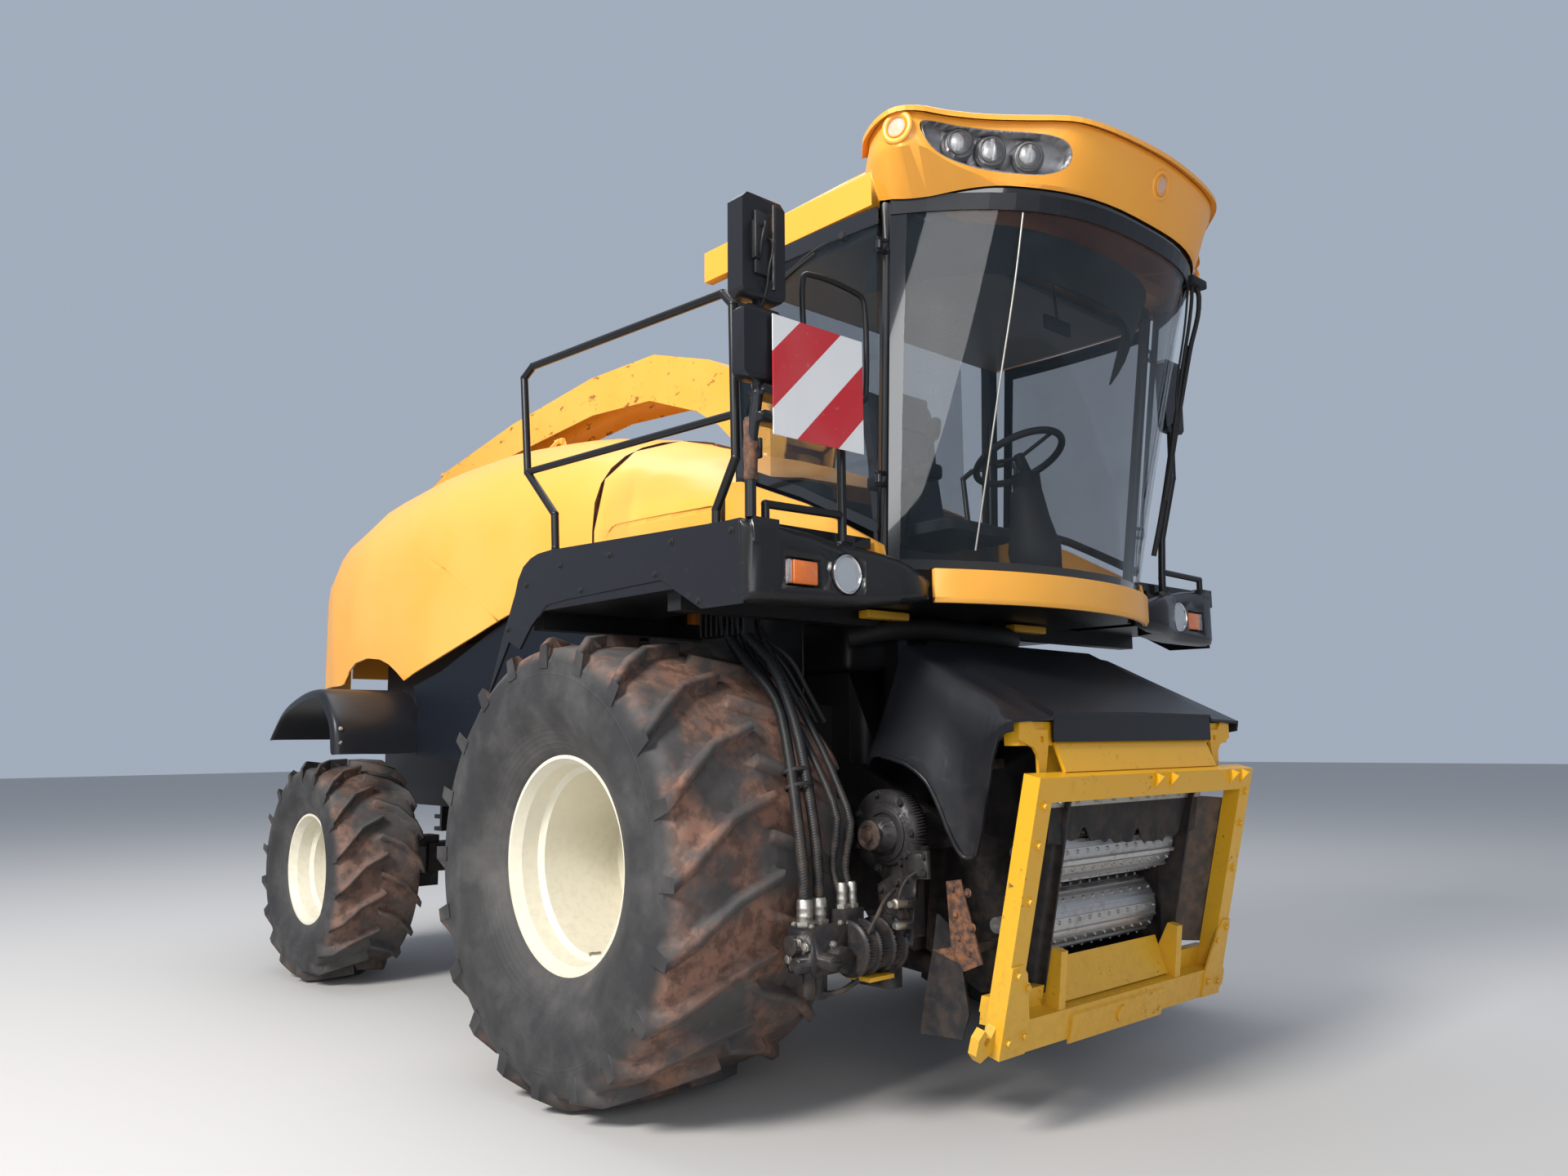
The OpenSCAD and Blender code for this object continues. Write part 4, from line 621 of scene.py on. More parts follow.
@dataclass(frozen=True)
class StripeFinish:
    """Board with wide slanted red stripes on white."""

    name: str
    red: Triple = (0.50, 0.012, 0.020)
    white: Triple = (0.70, 0.70, 0.70)
    worn: Triple = (0.42, 0.40, 0.38)
    pitch: float = 0.205
    foot: float = 2.665
    side: float = 1.35

    def build(self) -> bpy.types.Material:
        """Makes the material.

        Returns:
            The material.
        """
        net = Net(self.name)
        _, y, z = net.place()
        slope = (z - self.foot) - (self.side - y.size())
        band = net.math("PINGPONG", slope + 4.1, self.pitch).above(self.pitch * 0.5)
        wear = net.noise(38.0, 6.0, 0.7).step(0.62, 0.74) * 0.5
        fade = net.noise(2.5, 3.0).step(0.3, 0.8) * 0.25
        colour = net.mix(band, self.white, self.red)
        colour = net.mix(wear + fade * 0.4, colour, self.worn)
        net.set(Base_Color=colour, Roughness=0.42 + wear * 0.3)
        net.bump(net.noise(220.0, 2.0), 0.0002, 0.4)
        return net.material


class Finishes:
    """All the finishes, made once each."""

    YELLOW = PaintFinish("yellow_paint", (0.830, 0.370, 0.040), (0.860, 0.430, 0.085),
                         dust_share=0.3, top_fade=0.6, seams=True)
    ROOF = PaintFinish("roof_yellow", (0.800, 0.330, 0.030), (0.830, 0.370, 0.045),
                       dust_share=0.2)
    SPOUT = PaintFinish("spout_yellow", (0.720, 0.350, 0.035), (0.760, 0.420, 0.075),
                        dust_share=0.2, chips=1.0, bare=(0.15, 0.06, 0.03), rust=0.8)
    HEADER = PaintFinish("header_yellow", (0.660, 0.335, 0.008), (0.700, 0.390, 0.018),
                         dust_share=0.25, dust_top=1.2, chips=1.0)
    RIM = PaintFinish("rim_white", srgb(226, 222, 204), srgb(216, 210, 190), dust_share=0.22,
                      dust_top=1.6, roughness=0.4)
    FRAME = PlasticFinish("frame_black", (0.010, 0.010, 0.011), 0.45, 300.0, dust_share=0.16)
    BLACK = PlasticFinish("black_plastic", (0.010, 0.011, 0.014), 0.36, dust_share=0.12)
    POD = PlasticFinish("pod_black", (0.012, 0.012, 0.013), 0.26, 500.0, 0.0001,
                        dust_share=0.15)
    NAVY = PlasticFinish("navy_plastic", (0.006, 0.008, 0.013), 0.45, dust_share=0.12,
                         shine=0.16)
    TUBE = PlasticFinish("black_tube", (0.008, 0.008, 0.009), 0.36, 200.0, scuffs=0.12)
    CAST = PlasticFinish("cast_black", (0.016, 0.016, 0.018), 0.40, 420.0, 0.0005,
                         dust_share=0.14, scuffs=0.35)
    SCUFFED = PlasticFinish("scuffed_steel", (0.050, 0.042, 0.036), 0.45, 160.0, 0.0006,
                            dust=(0.16, 0.10, 0.065), dust_top=2.4, dust_share=0.6,
                            scuffs=0.7)
    GREY = PlasticFinish("part_grey", (0.11, 0.11, 0.11), 0.45, 420.0, scuffs=0.4)
    TRIM = PlasticFinish("cab_trim", (0.022, 0.023, 0.026), 0.6, dust_share=0.0)
    RUBBER = PlasticFinish("flap_rubber", (0.013, 0.013, 0.014), 0.62, 260.0, 0.0006)
    HOSE = PlasticFinish("hose_rubber", (0.013, 0.014, 0.016), 0.45, 700.0, scuffs=0.2,
                         rings=0.011)
    GLASS = GlassFinish("tinted_glass", border=Border.SCREEN)
    DOOR = GlassFinish("door_glass", border=Border.DOOR)
    CLEAR = LensFinish("lamp_glass", (0.62, 0.64, 0.66), cover=0.22)
    ORANGE = LensFinish("orange_lens", (0.75, 0.16, 0.01), cover=0.92)
    RED = LensFinish("red_lens", (0.45, 0.010, 0.010), cover=0.94)
    STEEL = MetalFinish("bare_steel", (0.55, 0.54, 0.53), roughness=0.34, stains=0.45,
                        brushed=(1.0, 0.05, 1.0))
    CHROME = MetalFinish("rod_chrome", (0.66, 0.66, 0.67), roughness=0.12, stains=0.12,
                         brushed=(0.05, 1.0, 1.0))
    ZINC = MetalFinish("zinc_plate", (0.42, 0.41, 0.37), roughness=0.34, stains=0.45)
    SILVER = MetalFinish("tray_silver", (0.30, 0.30, 0.31), roughness=0.42, stains=0.15)
    REFLECTOR = MetalFinish("reflector", (0.80, 0.80, 0.80), roughness=0.08, stains=0.0)
    RUST = RustFinish("surface_rust")
    OLD_RUST = RustFinish("old_rust", light=(0.085, 0.048, 0.032), dark=(0.022, 0.017, 0.015))
    CLOTH = ClothFinish("seat_cloth")
    STRIPES = StripeFinish("board_white")

    _made: dict[str, bpy.types.Material] = {}

    @classmethod
    def get(cls, finish: Any) -> bpy.types.Material:
        """The material of a finish, made on first use.

        Args:
            finish: The finish.

        Returns:
            Its material.
        """
        if finish.name not in cls._made:
            cls._made[finish.name] = finish.build()
        return cls._made[finish.name]

    @classmethod
    def coat(cls, piece: Piece, *finishes: Any) -> None:
        """Gives a piece its finishes; the first one is on every face.

        Args:
            piece: The piece.
            finishes: Its finishes, in the order of their indices.
        """
        piece.data.materials.clear()
        for finish in finishes:
            piece.data.materials.append(cls.get(finish))


def clear() -> None:
    """Deselects everything in object mode."""
    bpy.ops.object.select_all(action="DESELECT")


def alone(piece: Piece) -> None:
    """Selects one piece only and makes it active.

    Args:
        piece: The piece.
    """
    clear()
    piece.select_set(True)
    bpy.context.view_layer.objects.active = piece


@contextmanager
def editing(piece: Piece, action: str = "SELECT") -> Iterator[None]:
    """Edit mode on one piece, and object mode again at the end.

    Args:
        piece: The piece.
        action: SELECT or DESELECT, for all of it at the start.

    Yields:
        Nothing.
    """
    alone(piece)
    bpy.ops.object.mode_set(mode="EDIT")
    bpy.ops.mesh.select_all(action=action)
    yield
    bpy.ops.object.mode_set(mode="OBJECT")


def choose(piece: Piece, kind: str, wanted: Callable[[Any], bool]) -> None:
    """Selects the vertices or faces that pass a test, in edit mode.

    Args:
        piece: The piece that is edited.
        kind: "verts" or "faces".
        wanted: The test.
    """
    mesh = bmesh.from_edit_mesh(piece.data)
    for item in getattr(mesh, kind):
        item.select = wanted(item)
    if kind == "verts":
        mesh.select_flush(True)
    bmesh.update_edit_mesh(piece.data)


def modified(piece: Piece, kind: str, **settings: Any) -> Piece:
    """Applies one modifier.

    Args:
        piece: The piece.
        kind: The modifier's type.
        settings: Its attributes.

    Returns:
        The piece.
    """
    alone(piece)
    modifier = piece.modifiers.new("change", kind)
    for name, value in settings.items():
        setattr(modifier, name, value)
    bpy.ops.object.modifier_apply(modifier=modifier.name)
    return piece


def freeze() -> None:
    """Puts the selected pieces' place, turn and scale into their meshes."""
    bpy.ops.object.transform_apply(location=True, rotation=True, scale=True)


def added(name: str, scale: Sequence[float] = (1, 1, 1)) -> Piece:
    """Names the primitive that was just added and scales its mesh.

    Args:
        name: The piece's name.
        scale: Factors on x, y and z.

    Returns:
        The piece, at the origin.
    """
    piece = bpy.context.object
    piece.name = name
    piece.scale = scale
    freeze()
    return piece


def settle(piece: Piece, matrix: Matrix) -> Piece:
    """Puts a place and turn into a piece's mesh.

    Args:
        piece: The piece.
        matrix: Where it goes.

    Returns:
        The piece, at the origin.
    """
    alone(piece)
    piece.matrix_world = matrix
    freeze()
    return piece


def aimed(place: Sequence[float], axis: Sequence[float]) -> Matrix:
    """The frame at a place whose Z looks along an axis."""
    turn = Vector((0, 0, 1)).rotation_difference(Vector(axis).normalized())
    return Matrix.Translation(Vector(place)) @ turn.to_matrix().to_4x4()


def facing(axis: Sequence[float], points: Iterable[Sequence[float]]) -> list[Matrix]:
    """Frames at points in millimetres, all looking along one axis."""
    return [aimed(spot(*point), axis) for point in points]


def ring(middle: Vector, radius: float, count: int, outward: int,
         start: float = 0.0) -> list[Matrix]:
    """Frames on a circle that looks to one side of the machine.

    Args:
        middle: Its middle.
        radius: Its radius.
        count: How many frames.
        outward: The side, 1 for left and -1 for right.
        start: Where the first one is, as a share of the step.

    Returns:
        The frames.
    """
    turns = [2 * math.pi * (number + start) / count for number in range(count)]
    return [aimed(middle + Vector((radius * math.cos(turn), 0, radius * math.sin(turn))),
                  (0, outward, 0)) for turn in turns]


def block(name: str, low: Sequence[float], high: Sequence[float], edge: float,
          steps: int = 2) -> Piece:
    """A box with rounded edges.

    Args:
        name: The piece's name.
        low: One corner.
        high: The corner across from it.
        edge: Width of the rounding.
        steps: Steps of the rounding.

    Returns:
        The piece.
    """
    clear()
    low, high = Vector(low), Vector(high)
    bpy.ops.mesh.primitive_cube_add(size=1, location=(low + high) / 2)
    piece = added(name, [abs(value) for value in high - low])
    with editing(piece):
        bpy.ops.mesh.bevel(offset=edge, segments=steps, affect="EDGES")
    return piece


def slab(name: str, low: Triple, high: Triple, edge: float, steps: int = 2) -> Piece:
    """A block between two points in millimetres, as spot takes them."""
    return block(name, spot(*low), spot(*high), edge, steps)


def turned(name: str, profile: Sequence[tuple[float, float]], place: Sequence[float],
           axis: Sequence[float], sides: int = 20) -> Piece:
    """A turned piece, drawn out ring by ring from a filled circle.

    Args:
        name: The piece's name.
        profile: Radius and height of each ring, from the back to the front.
        place: Where height 0 lies.
        axis: Where the front looks.
        sides: Corners of each ring.

    Returns:
        The piece.
    """
    clear()
    radius, height = profile[0]
    bpy.ops.mesh.primitive_circle_add(vertices=sides, radius=radius, fill_type="NGON",
                                      location=(0, 0, height))
    piece = added(name)
    with editing(piece):
        for next_radius, next_height in profile[1:]:
            bpy.ops.mesh.extrude_region_move(
                TRANSFORM_OT_translate={"value": (0, 0, next_height - height)})
            share = next_radius / radius
            if share != 1:
                bpy.ops.transform.resize(value=(share, share, 1),
                                         center_override=(0, 0, next_height))
            radius, height = next_radius, next_height
        bpy.ops.mesh.select_all(action="SELECT")
        bpy.ops.mesh.normals_make_consistent(inside=False)
    return settle(piece, aimed(place, axis))


def pipe(name: str, points: Sequence[Sequence[float]], radius: float, bent: bool = True,
         sides: int = 4) -> Piece:
    """A round rod, cable or pipe along points.

    Args:
        name: The piece's name.
        points: Its middle line.
        radius: Its radius.
        bent: Whether it runs smoothly through the points.
        sides: Fineness of its round.

    Returns:
        The piece, as a mesh.
    """
    clear()
    curve = bpy.data.curves.new(name, "CURVE")
    curve.dimensions = "3D"
    curve.bevel_depth = radius
    curve.bevel_resolution = sides
    curve.resolution_u = 6
    curve.use_fill_caps = True
    spline = curve.splines.new("BEZIER" if bent else "POLY")
    knots = spline.bezier_points if bent else spline.points
    knots.add(len(points) - 1)
    for knot, point in zip(knots, points):
        if bent:
            knot.co = point
            knot.handle_left_type = knot.handle_right_type = "AUTO"
        else:
            knot.co = (*point, 1.0)
    piece = bpy.data.objects.new(name, curve)
    bpy.context.collection.objects.link(piece)
    alone(piece)
    bpy.ops.object.convert(target="MESH")
    return bpy.context.object


def tube(name: str, radius: float, *points: Triple, bent: bool = True, sides: int = 4) -> Piece:
    """A pipe through points in millimetres, as spot takes them."""
    return pipe(name, [spot(*point) for point in points], radius, bent, sides)


def grid(name: str, cells: tuple[int, int],
         place: Callable[[float, float], Sequence[float]]) -> Piece:
    """A sheet of square cells that a function puts in place.

    Args:
        name: The piece's name.
        cells: Cells across and along.
        place: Gives the point for two shares, each from -1 to 1.

    Returns:
        The sheet.
    """
    clear()
    bpy.ops.mesh.primitive_grid_add(x_subdivisions=cells[0], y_subdivisions=cells[1], size=2)
    piece = added(name)
    for vertex in piece.data.vertices:
        vertex.co = place(vertex.co.x, vertex.co.y)
    return piece


def joined(parts: Sequence[Piece], name: str) -> Piece:
    """Several pieces as one, at the origin.

    Args:
        parts: The pieces.
        name: The name of the whole.

    Returns:
        The whole.
    """
    clear()
    for part in parts:
        part.select_set(True)
    bpy.context.view_layer.objects.active = parts[0]
    if len(parts) > 1:
        bpy.ops.object.join()
    whole = bpy.context.object
    whole.name = name
    freeze()
    return whole


def duplicate(source: Piece, name: str) -> Piece:
    """A copy with its own mesh.

    Args:
        source: The piece that is copied.
        name: The copy's name.

    Returns:
        The copy.
    """
    copy = bpy.data.objects.new(name, source.data.copy())
    bpy.context.collection.objects.link(copy)
    return copy


def repeated(pattern: Piece, frames: Iterable[Matrix], name: str) -> Piece:
    """Copies of a pattern at several frames, each with its own mesh, joined.

    Args:
        pattern: The piece that is copied; it is deleted at the end.
        frames: Where each copy goes.
        name: The name of the whole.

    Returns:
        The joined copies.
    """
    copies = []
    for matrix in frames:
        copy = duplicate(pattern, name)
        copy.data.transform(matrix)
        copies.append(copy)
    bpy.data.objects.remove(pattern)
    return joined(copies, name)


def bolts(name: str, frames: Iterable[Matrix], across: float, tall: float) -> Piece:
    """Hexagon bolt heads on their washers.

    Args:
        name: The name of them all.
        frames: Where each one sits.
        across: Width of the head.
        tall: Height of the head.

    Returns:
        The heads as one piece.
    """
    clear()
    bpy.ops.mesh.primitive_cylinder_add(vertices=6, radius=across / 2, depth=tall,
                                        location=(0, 0, tall / 2 + 0.002))
    head = added("head")
    with editing(head):
        bpy.ops.mesh.bevel(offset=across * 0.06, segments=1, affect="EDGES")
    profile = [(across * 0.72, 0), (across * 0.72, 0.0016), (across * 0.62, 0.0026)]
    washer = turned("washer", profile, (0, 0, 0), UP, 16)
    return repeated(joined([head, washer], "head"), frames, name)


def mirrored(piece: Piece, name: str) -> Piece:
    """A copy on the other side of the machine.

    Args:
        piece: The piece.
        name: The copy's name.

    Returns:
        The copy.
    """
    copy = settle(duplicate(piece, name), Matrix.Scale(-1, 4, (0, 1, 0)))
    with editing(copy):
        bpy.ops.mesh.normals_make_consistent(inside=False)
    return copy


def copy_of(node: str, name: str) -> Piece:
    """A copy of a CAD node's mesh with its corners merged.

    Args:
        node: The CAD node.
        name: The copy's name.

    Returns:
        The copy.
    """
    copy = duplicate(frame["nodes"][node], name)
    with editing(copy):
        bpy.ops.mesh.remove_doubles(threshold=0.00002)
    return copy


def done(piece: Piece, finish: Any, body: str = "chassis", angle: float = 35.0,
         even: bool = False) -> Piece:
    """Smooths a piece, gives it its finish and puts it on its body.

    Args:
        piece: The piece.
        finish: Its finish.
        body: The body that it rides on.
        angle: Edges flatter than this are shaded smooth.
        even: Whether large faces weigh more in the shading.

    Returns:
        The piece.
    """
    alone(piece)
    bpy.ops.object.shade_smooth_by_angle(angle=math.radians(angle))
    if even:
        modified(piece, "WEIGHTED_NORMAL", keep_sharp=True, weight=80)
    Finishes.coat(piece, finish)
    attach(piece, body)
    log.info("made %s on %s", piece.name, body)
    return piece


def group(name: str, finish: Any, parts: Sequence[Piece], body: str = "chassis",
          angle: float = 35.0) -> Piece:
    """Joins pieces and gives the whole its finish and body, with the arguments of done."""
    return done(joined(parts, name), finish, body, angle)


@dataclass
class Shells:
    """The sheets, panes, hoses and tyres of the CAD model, merged and smoothly shaded."""

    finishes: dict[str, Any] = field(default_factory=lambda: {
        "roof": Finishes.ROOF, "hood_centre": Finishes.YELLOW, "hood_left": Finishes.YELLOW,
        "hood_right": Finishes.YELLOW, "cab_belt": Finishes.YELLOW, "cab_glass": Finishes.GLASS,
        "door_left": Finishes.DOOR, "door_right": Finishes.DOOR, "feeder_hood": Finishes.BLACK,
        "hoses": Finishes.HOSE, "skirts": Finishes.NAVY, "spout": Finishes.SPOUT,
        "spout_turret": Finishes.SPOUT, "spout_flap": Finishes.SPOUT, "mirrors": Finishes.BLACK,
        "cab_frame": Finishes.BLACK, "header_drive": Finishes.CAST,
        "feeder_housing": Finishes.FRAME, "chopper_housing": Finishes.FRAME})
    angle: float = 34.0
    bead_share: float = 0.48
    front_mud: float = 0.9
    rear_mud: float = 0.6
    pod_back: float = 1.055
    pod_top: float = 2.172
    # where the guard, the shield and the slanting plates lie, from the front axle on
    guard: Triple = (1.28, -0.806, 0.57)
    shield_y: float = -0.79
    shield_top: float = 0.78
    plate: tuple[float, float] = (1.3, 0.5)
    plate_y: tuple[float, float] = (0.465, 0.72)

    def tyre(self, node: str) -> TyreFinish:
        """The tyre finish at that wheel's own place and size.

        Args:
            node: The tyre's node.

        Returns:
            The finish.
        """
        low, high = (Vector(corner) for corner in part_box(node))
        middle = (low + high) / 2
        radius = (high.z - low.z) / 2
        mud = self.front_mud if "front" in node else self.rear_mud
        return TyreFinish(node, tuple(middle), radius, high.y - low.y,
                          radius * self.bead_share, mud_share=mud)

    def skin(self, node: str, finish: Any) -> Piece:
        """Makes one smooth copy that stands for its node.

        Args:
            node: The CAD node.
            finish: The copy's finish.

        Returns:
            The copy.
        """
        copy = copy_of(node, f"{node}_skin")
        done(copy, finish, body_name(node), self.angle, even=True)
        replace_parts(copy, node)
        return copy

    def housing(self) -> None:
        """Scuffed slanting plates, rusty guard and black shield of the feed housing."""
        copy = bpy.data.objects["feeder_housing_skin"]
        Finishes.coat(copy, Finishes.FRAME, Finishes.SCUFFED, Finishes.RUST, Finishes.CAST)
        inner, outer = self.plate_y
        for face in copy.data.polygons:
            x, y, z = face.center.x - FRONT_AXLE, face.center.y, face.center.z
            if x > self.guard[0] and y < self.guard[1] and z > self.guard[2]:
                face.material_index = 2
            elif y < self.shield_y and z < self.shield_top:
                face.material_index = 3
            elif x > self.plate[0] and z > self.plate[1] and inner < abs(y) < outer:
                face.material_index = 1

    def platforms(self) -> None:
        """The platforms, whose lamp pods are glossier than the panels."""
        copy = self.skin("platforms", Finishes.BLACK)
        Finishes.coat(copy, Finishes.BLACK, Finishes.POD)
        for face in copy.data.polygons:
            if face.center.x > FRONT_AXLE + self.pod_back and face.center.z < self.pod_top:
                face.material_index = 1

    def build(self) -> None:
        """Makes every smooth copy."""
        for node, finish in self.finishes.items():
            self.skin(node, finish)
        for end in ("front", "rear"):
            for side, _ in SIDES:
                node = f"tyre_{end}_{side}"
                self.skin(node, self.tyre(node))
        self.housing()
        self.platforms()


@dataclass
class CadDress:
    """Gives every CAD node that stays its finish."""

    by_slot: dict[str, Any] = field(default_factory=lambda: {
        "frame_black": Finishes.FRAME, "black_plastic": Finishes.BLACK,
        "lamp_glass": Finishes.CLEAR, "black_tube": Finishes.TUBE,
        "board_white": Finishes.STRIPES, "yellow_paint": Finishes.YELLOW,
        "tinted_glass": Finishes.GLASS, "cab_trim": Finishes.TRIM, "navy_plastic": Finishes.NAVY,
        "cast_black": Finishes.CAST, "hose_rubber": Finishes.HOSE, "bare_steel": Finishes.STEEL,
        "rod_chrome": Finishes.CHROME, "rim_white": Finishes.RIM,
        "tyre_rubber": Finishes.RUBBER})
    special: dict[str, Any] = field(default_factory=lambda: {"header_frame": Finishes.HEADER})

    def dress(self) -> None:
        """Puts a finish on each node."""
        for row in frame["record"]["subparts"]:
            node = row["node"]
            finish = self.special.get(node, self.by_slot[row["material_slot"]])
            Finishes.coat(frame["nodes"][node], finish)


@dataclass
class Lamps:
    """Headlamps and turn lamps of the pods, round lamps and lamp trays of the roof."""

    head: Triple = (1172.0, 1189.0, 2001.0)
    turn_y: float = 1390.0
    # places in millimetres on the left, and where the lamps shine
    tray: tuple = (((1507.3, 880.9, 3645.6), (0.853, 0.519, -0.055)),
                   ((1571.1, 771.9, 3627.5), (0.769, 0.626, -0.133)),
                   ((1655.6, 651.5, 3611.7), (0.724, 0.651, -0.228)))
    corner: tuple = ((1374.2, 1092.6, 3676.3), (0.241, 0.970, -0.031))
    middle: tuple = ((1833.2, 0.0, 3637.3), (0.941, 0.0, -0.339))
    # share of the radius and height of each ring
    rim_rings: tuple = ((0.86, -0.034), (0.98, -0.020), (1.0, 0.0), (0.98, 0.004),
                        (0.92, 0.006), (0.88, 0.003), (0.86, -0.004))
    bowl_rings: tuple = ((0.84, -0.030), (0.86, -0.0035), (0.80, -0.0042), (0.62, -0.014),
                         (0.34, -0.023), (0.20, -0.024), (0.19, -0.010), (0.12, -0.008),
                         (0.04, -0.0075))
    lens_rings: tuple = ((0.87, -0.003), (0.86, 0.001), (0.70, 0.0032), (0.40, 0.0050),
                         (0.10, 0.0056))
    tray_span: float = 0.4
    head_radius: float = 0.073
    tray_radius: float = 0.050
    small_radius: float = 0.041

    def bowl(self, name: str, radius: float, place: Vector, axis: Vector, rim: Any) -> None:
        """A round lamp: rim, bright bowl with its bulb, and lens.

        Args:
            name: Start of the pieces' names.
            radius: Radius over the rim.
            place: Middle of the lens.
            axis: Where it shines.
            rim: Finish of the rim.
        """
        for part, rings, finish in (("rim", self.rim_rings, rim),
                                    ("bowl", self.bowl_rings, Finishes.REFLECTOR),
                                    ("lens", self.lens_rings, Finishes.CLEAR)):
            profile = [(radius * share, height) for share, height in rings]
            piece = turned(f"{name}_{part}", profile, place, axis, 40)
            done(piece, finish)

    def both(self, point: Triple, axis: Triple) -> list[tuple[str, Vector, Vector]]:
        """A place and a direction on both sides.

        Args:
            point: The place on the left, in millimetres.
            axis: The direction there.

        Returns:
            Side, place and direction, for left and right.
        """
        return [(side, spot(point[0], sign * point[1], point[2]),
                 Vector((axis[0], sign * axis[1], axis[2]))) for side, sign in SIDES]

    def trays(self) -> Piece:
        """The silver trays, the large parts of a copy of the CAD node.

        Returns:
            The trays as one piece.
        """
        copy = copy_of("lamps", "lamp_trays")
        with editing(copy):
            bpy.ops.mesh.separate(type="LOOSE")
        kept = []
        for part in list(bpy.context.selected_objects):
            if max(part.dimensions) > self.tray_span:
                kept.append(part)
            else:
                bpy.data.objects.remove(part)
        return group("lamp_trays", Finishes.SILVER, kept)

    def turn_lamp(self, side: str, sign: int) -> None:
        """The lamp in the pod's recess: an orange and a clear lens, each on its base.

        Args:
            side: Name of the side.
            sign: 1 for left and -1 for right.
        """
        for name, ends, finish, back in (
                ("orange", (-74, 48), Finishes.ORANGE, Finishes.BLACK),
                ("clear", (52, 74), Finishes.CLEAR, Finishes.REFLECTOR)):
            first, second = (sign * (self.turn_y + end) for end in ends)
            lens = slab(f"turn_{name}_{side}", (1124, first, 1950), (1152, second, 2036),
                        0.007, 3)
            done(lens, finish)
            base = slab(f"turn_base_{name}_{side}", (1115, first, 1950), (1128, second, 2036),
                        0.002, 1)
            done(base, back)

    def collar(self, name: str, place: Vector, way: Vector) -> None:
        """The raised round collar of a roof lamp, open in the middle.

        Args:
            name: End of its name.
            place: Middle of the lamp.
            way: Where the lamp shines.
        """
        clear()
        bpy.ops.mesh.primitive_torus_add(major_segments=40, minor_segments=12,
                                         major_radius=0.052, minor_radius=0.012)
        loop = added(f"lamp_collar_{name}", (1, 1, 0.6))
        done(settle(loop, aimed(place + way * 0.002, way)), Finishes.ROOF)

    def build(self) -> None:
        """Makes all the lamps in place of the plain ones."""
        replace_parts(self.trays(), "lamps")
        for side, place, axis in self.both(self.head, (1, 0, 0)):
            self.bowl(f"headlamp_{side}", self.head_radius, place, axis, Finishes.CHROME)
        for side, sign in SIDES:
            self.turn_lamp(side, sign)
        for number, (point, axis) in enumerate(self.tray):
            for side, place, way in self.both(point, axis):
                seat = place - way * 0.012
                self.bowl(f"tray_lamp_{number}_{side}", self.tray_radius, seat, way,
                          Finishes.GREY)
                profile = [(0.060, -0.055), (0.064, -0.030), (0.058, -0.022), (0.052, -0.026)]
                collar = turned(f"tray_collar_{number}_{side}", profile, seat, way, 32)
                done(collar, Finishes.SILVER)
        small = [(f"corner_lamp_{side}", f"corner_{side}", place, way)
                 for side, place, way in self.both(*self.corner)]
        small.append(("middle_lamp", "middle", spot(*self.middle[0]), Vector(self.middle[1])))
        for name, end, place, way in small:
            self.bowl(name, self.small_radius, place + way * 0.006, way, Finishes.ROOF)
            self.collar(end, place, way)


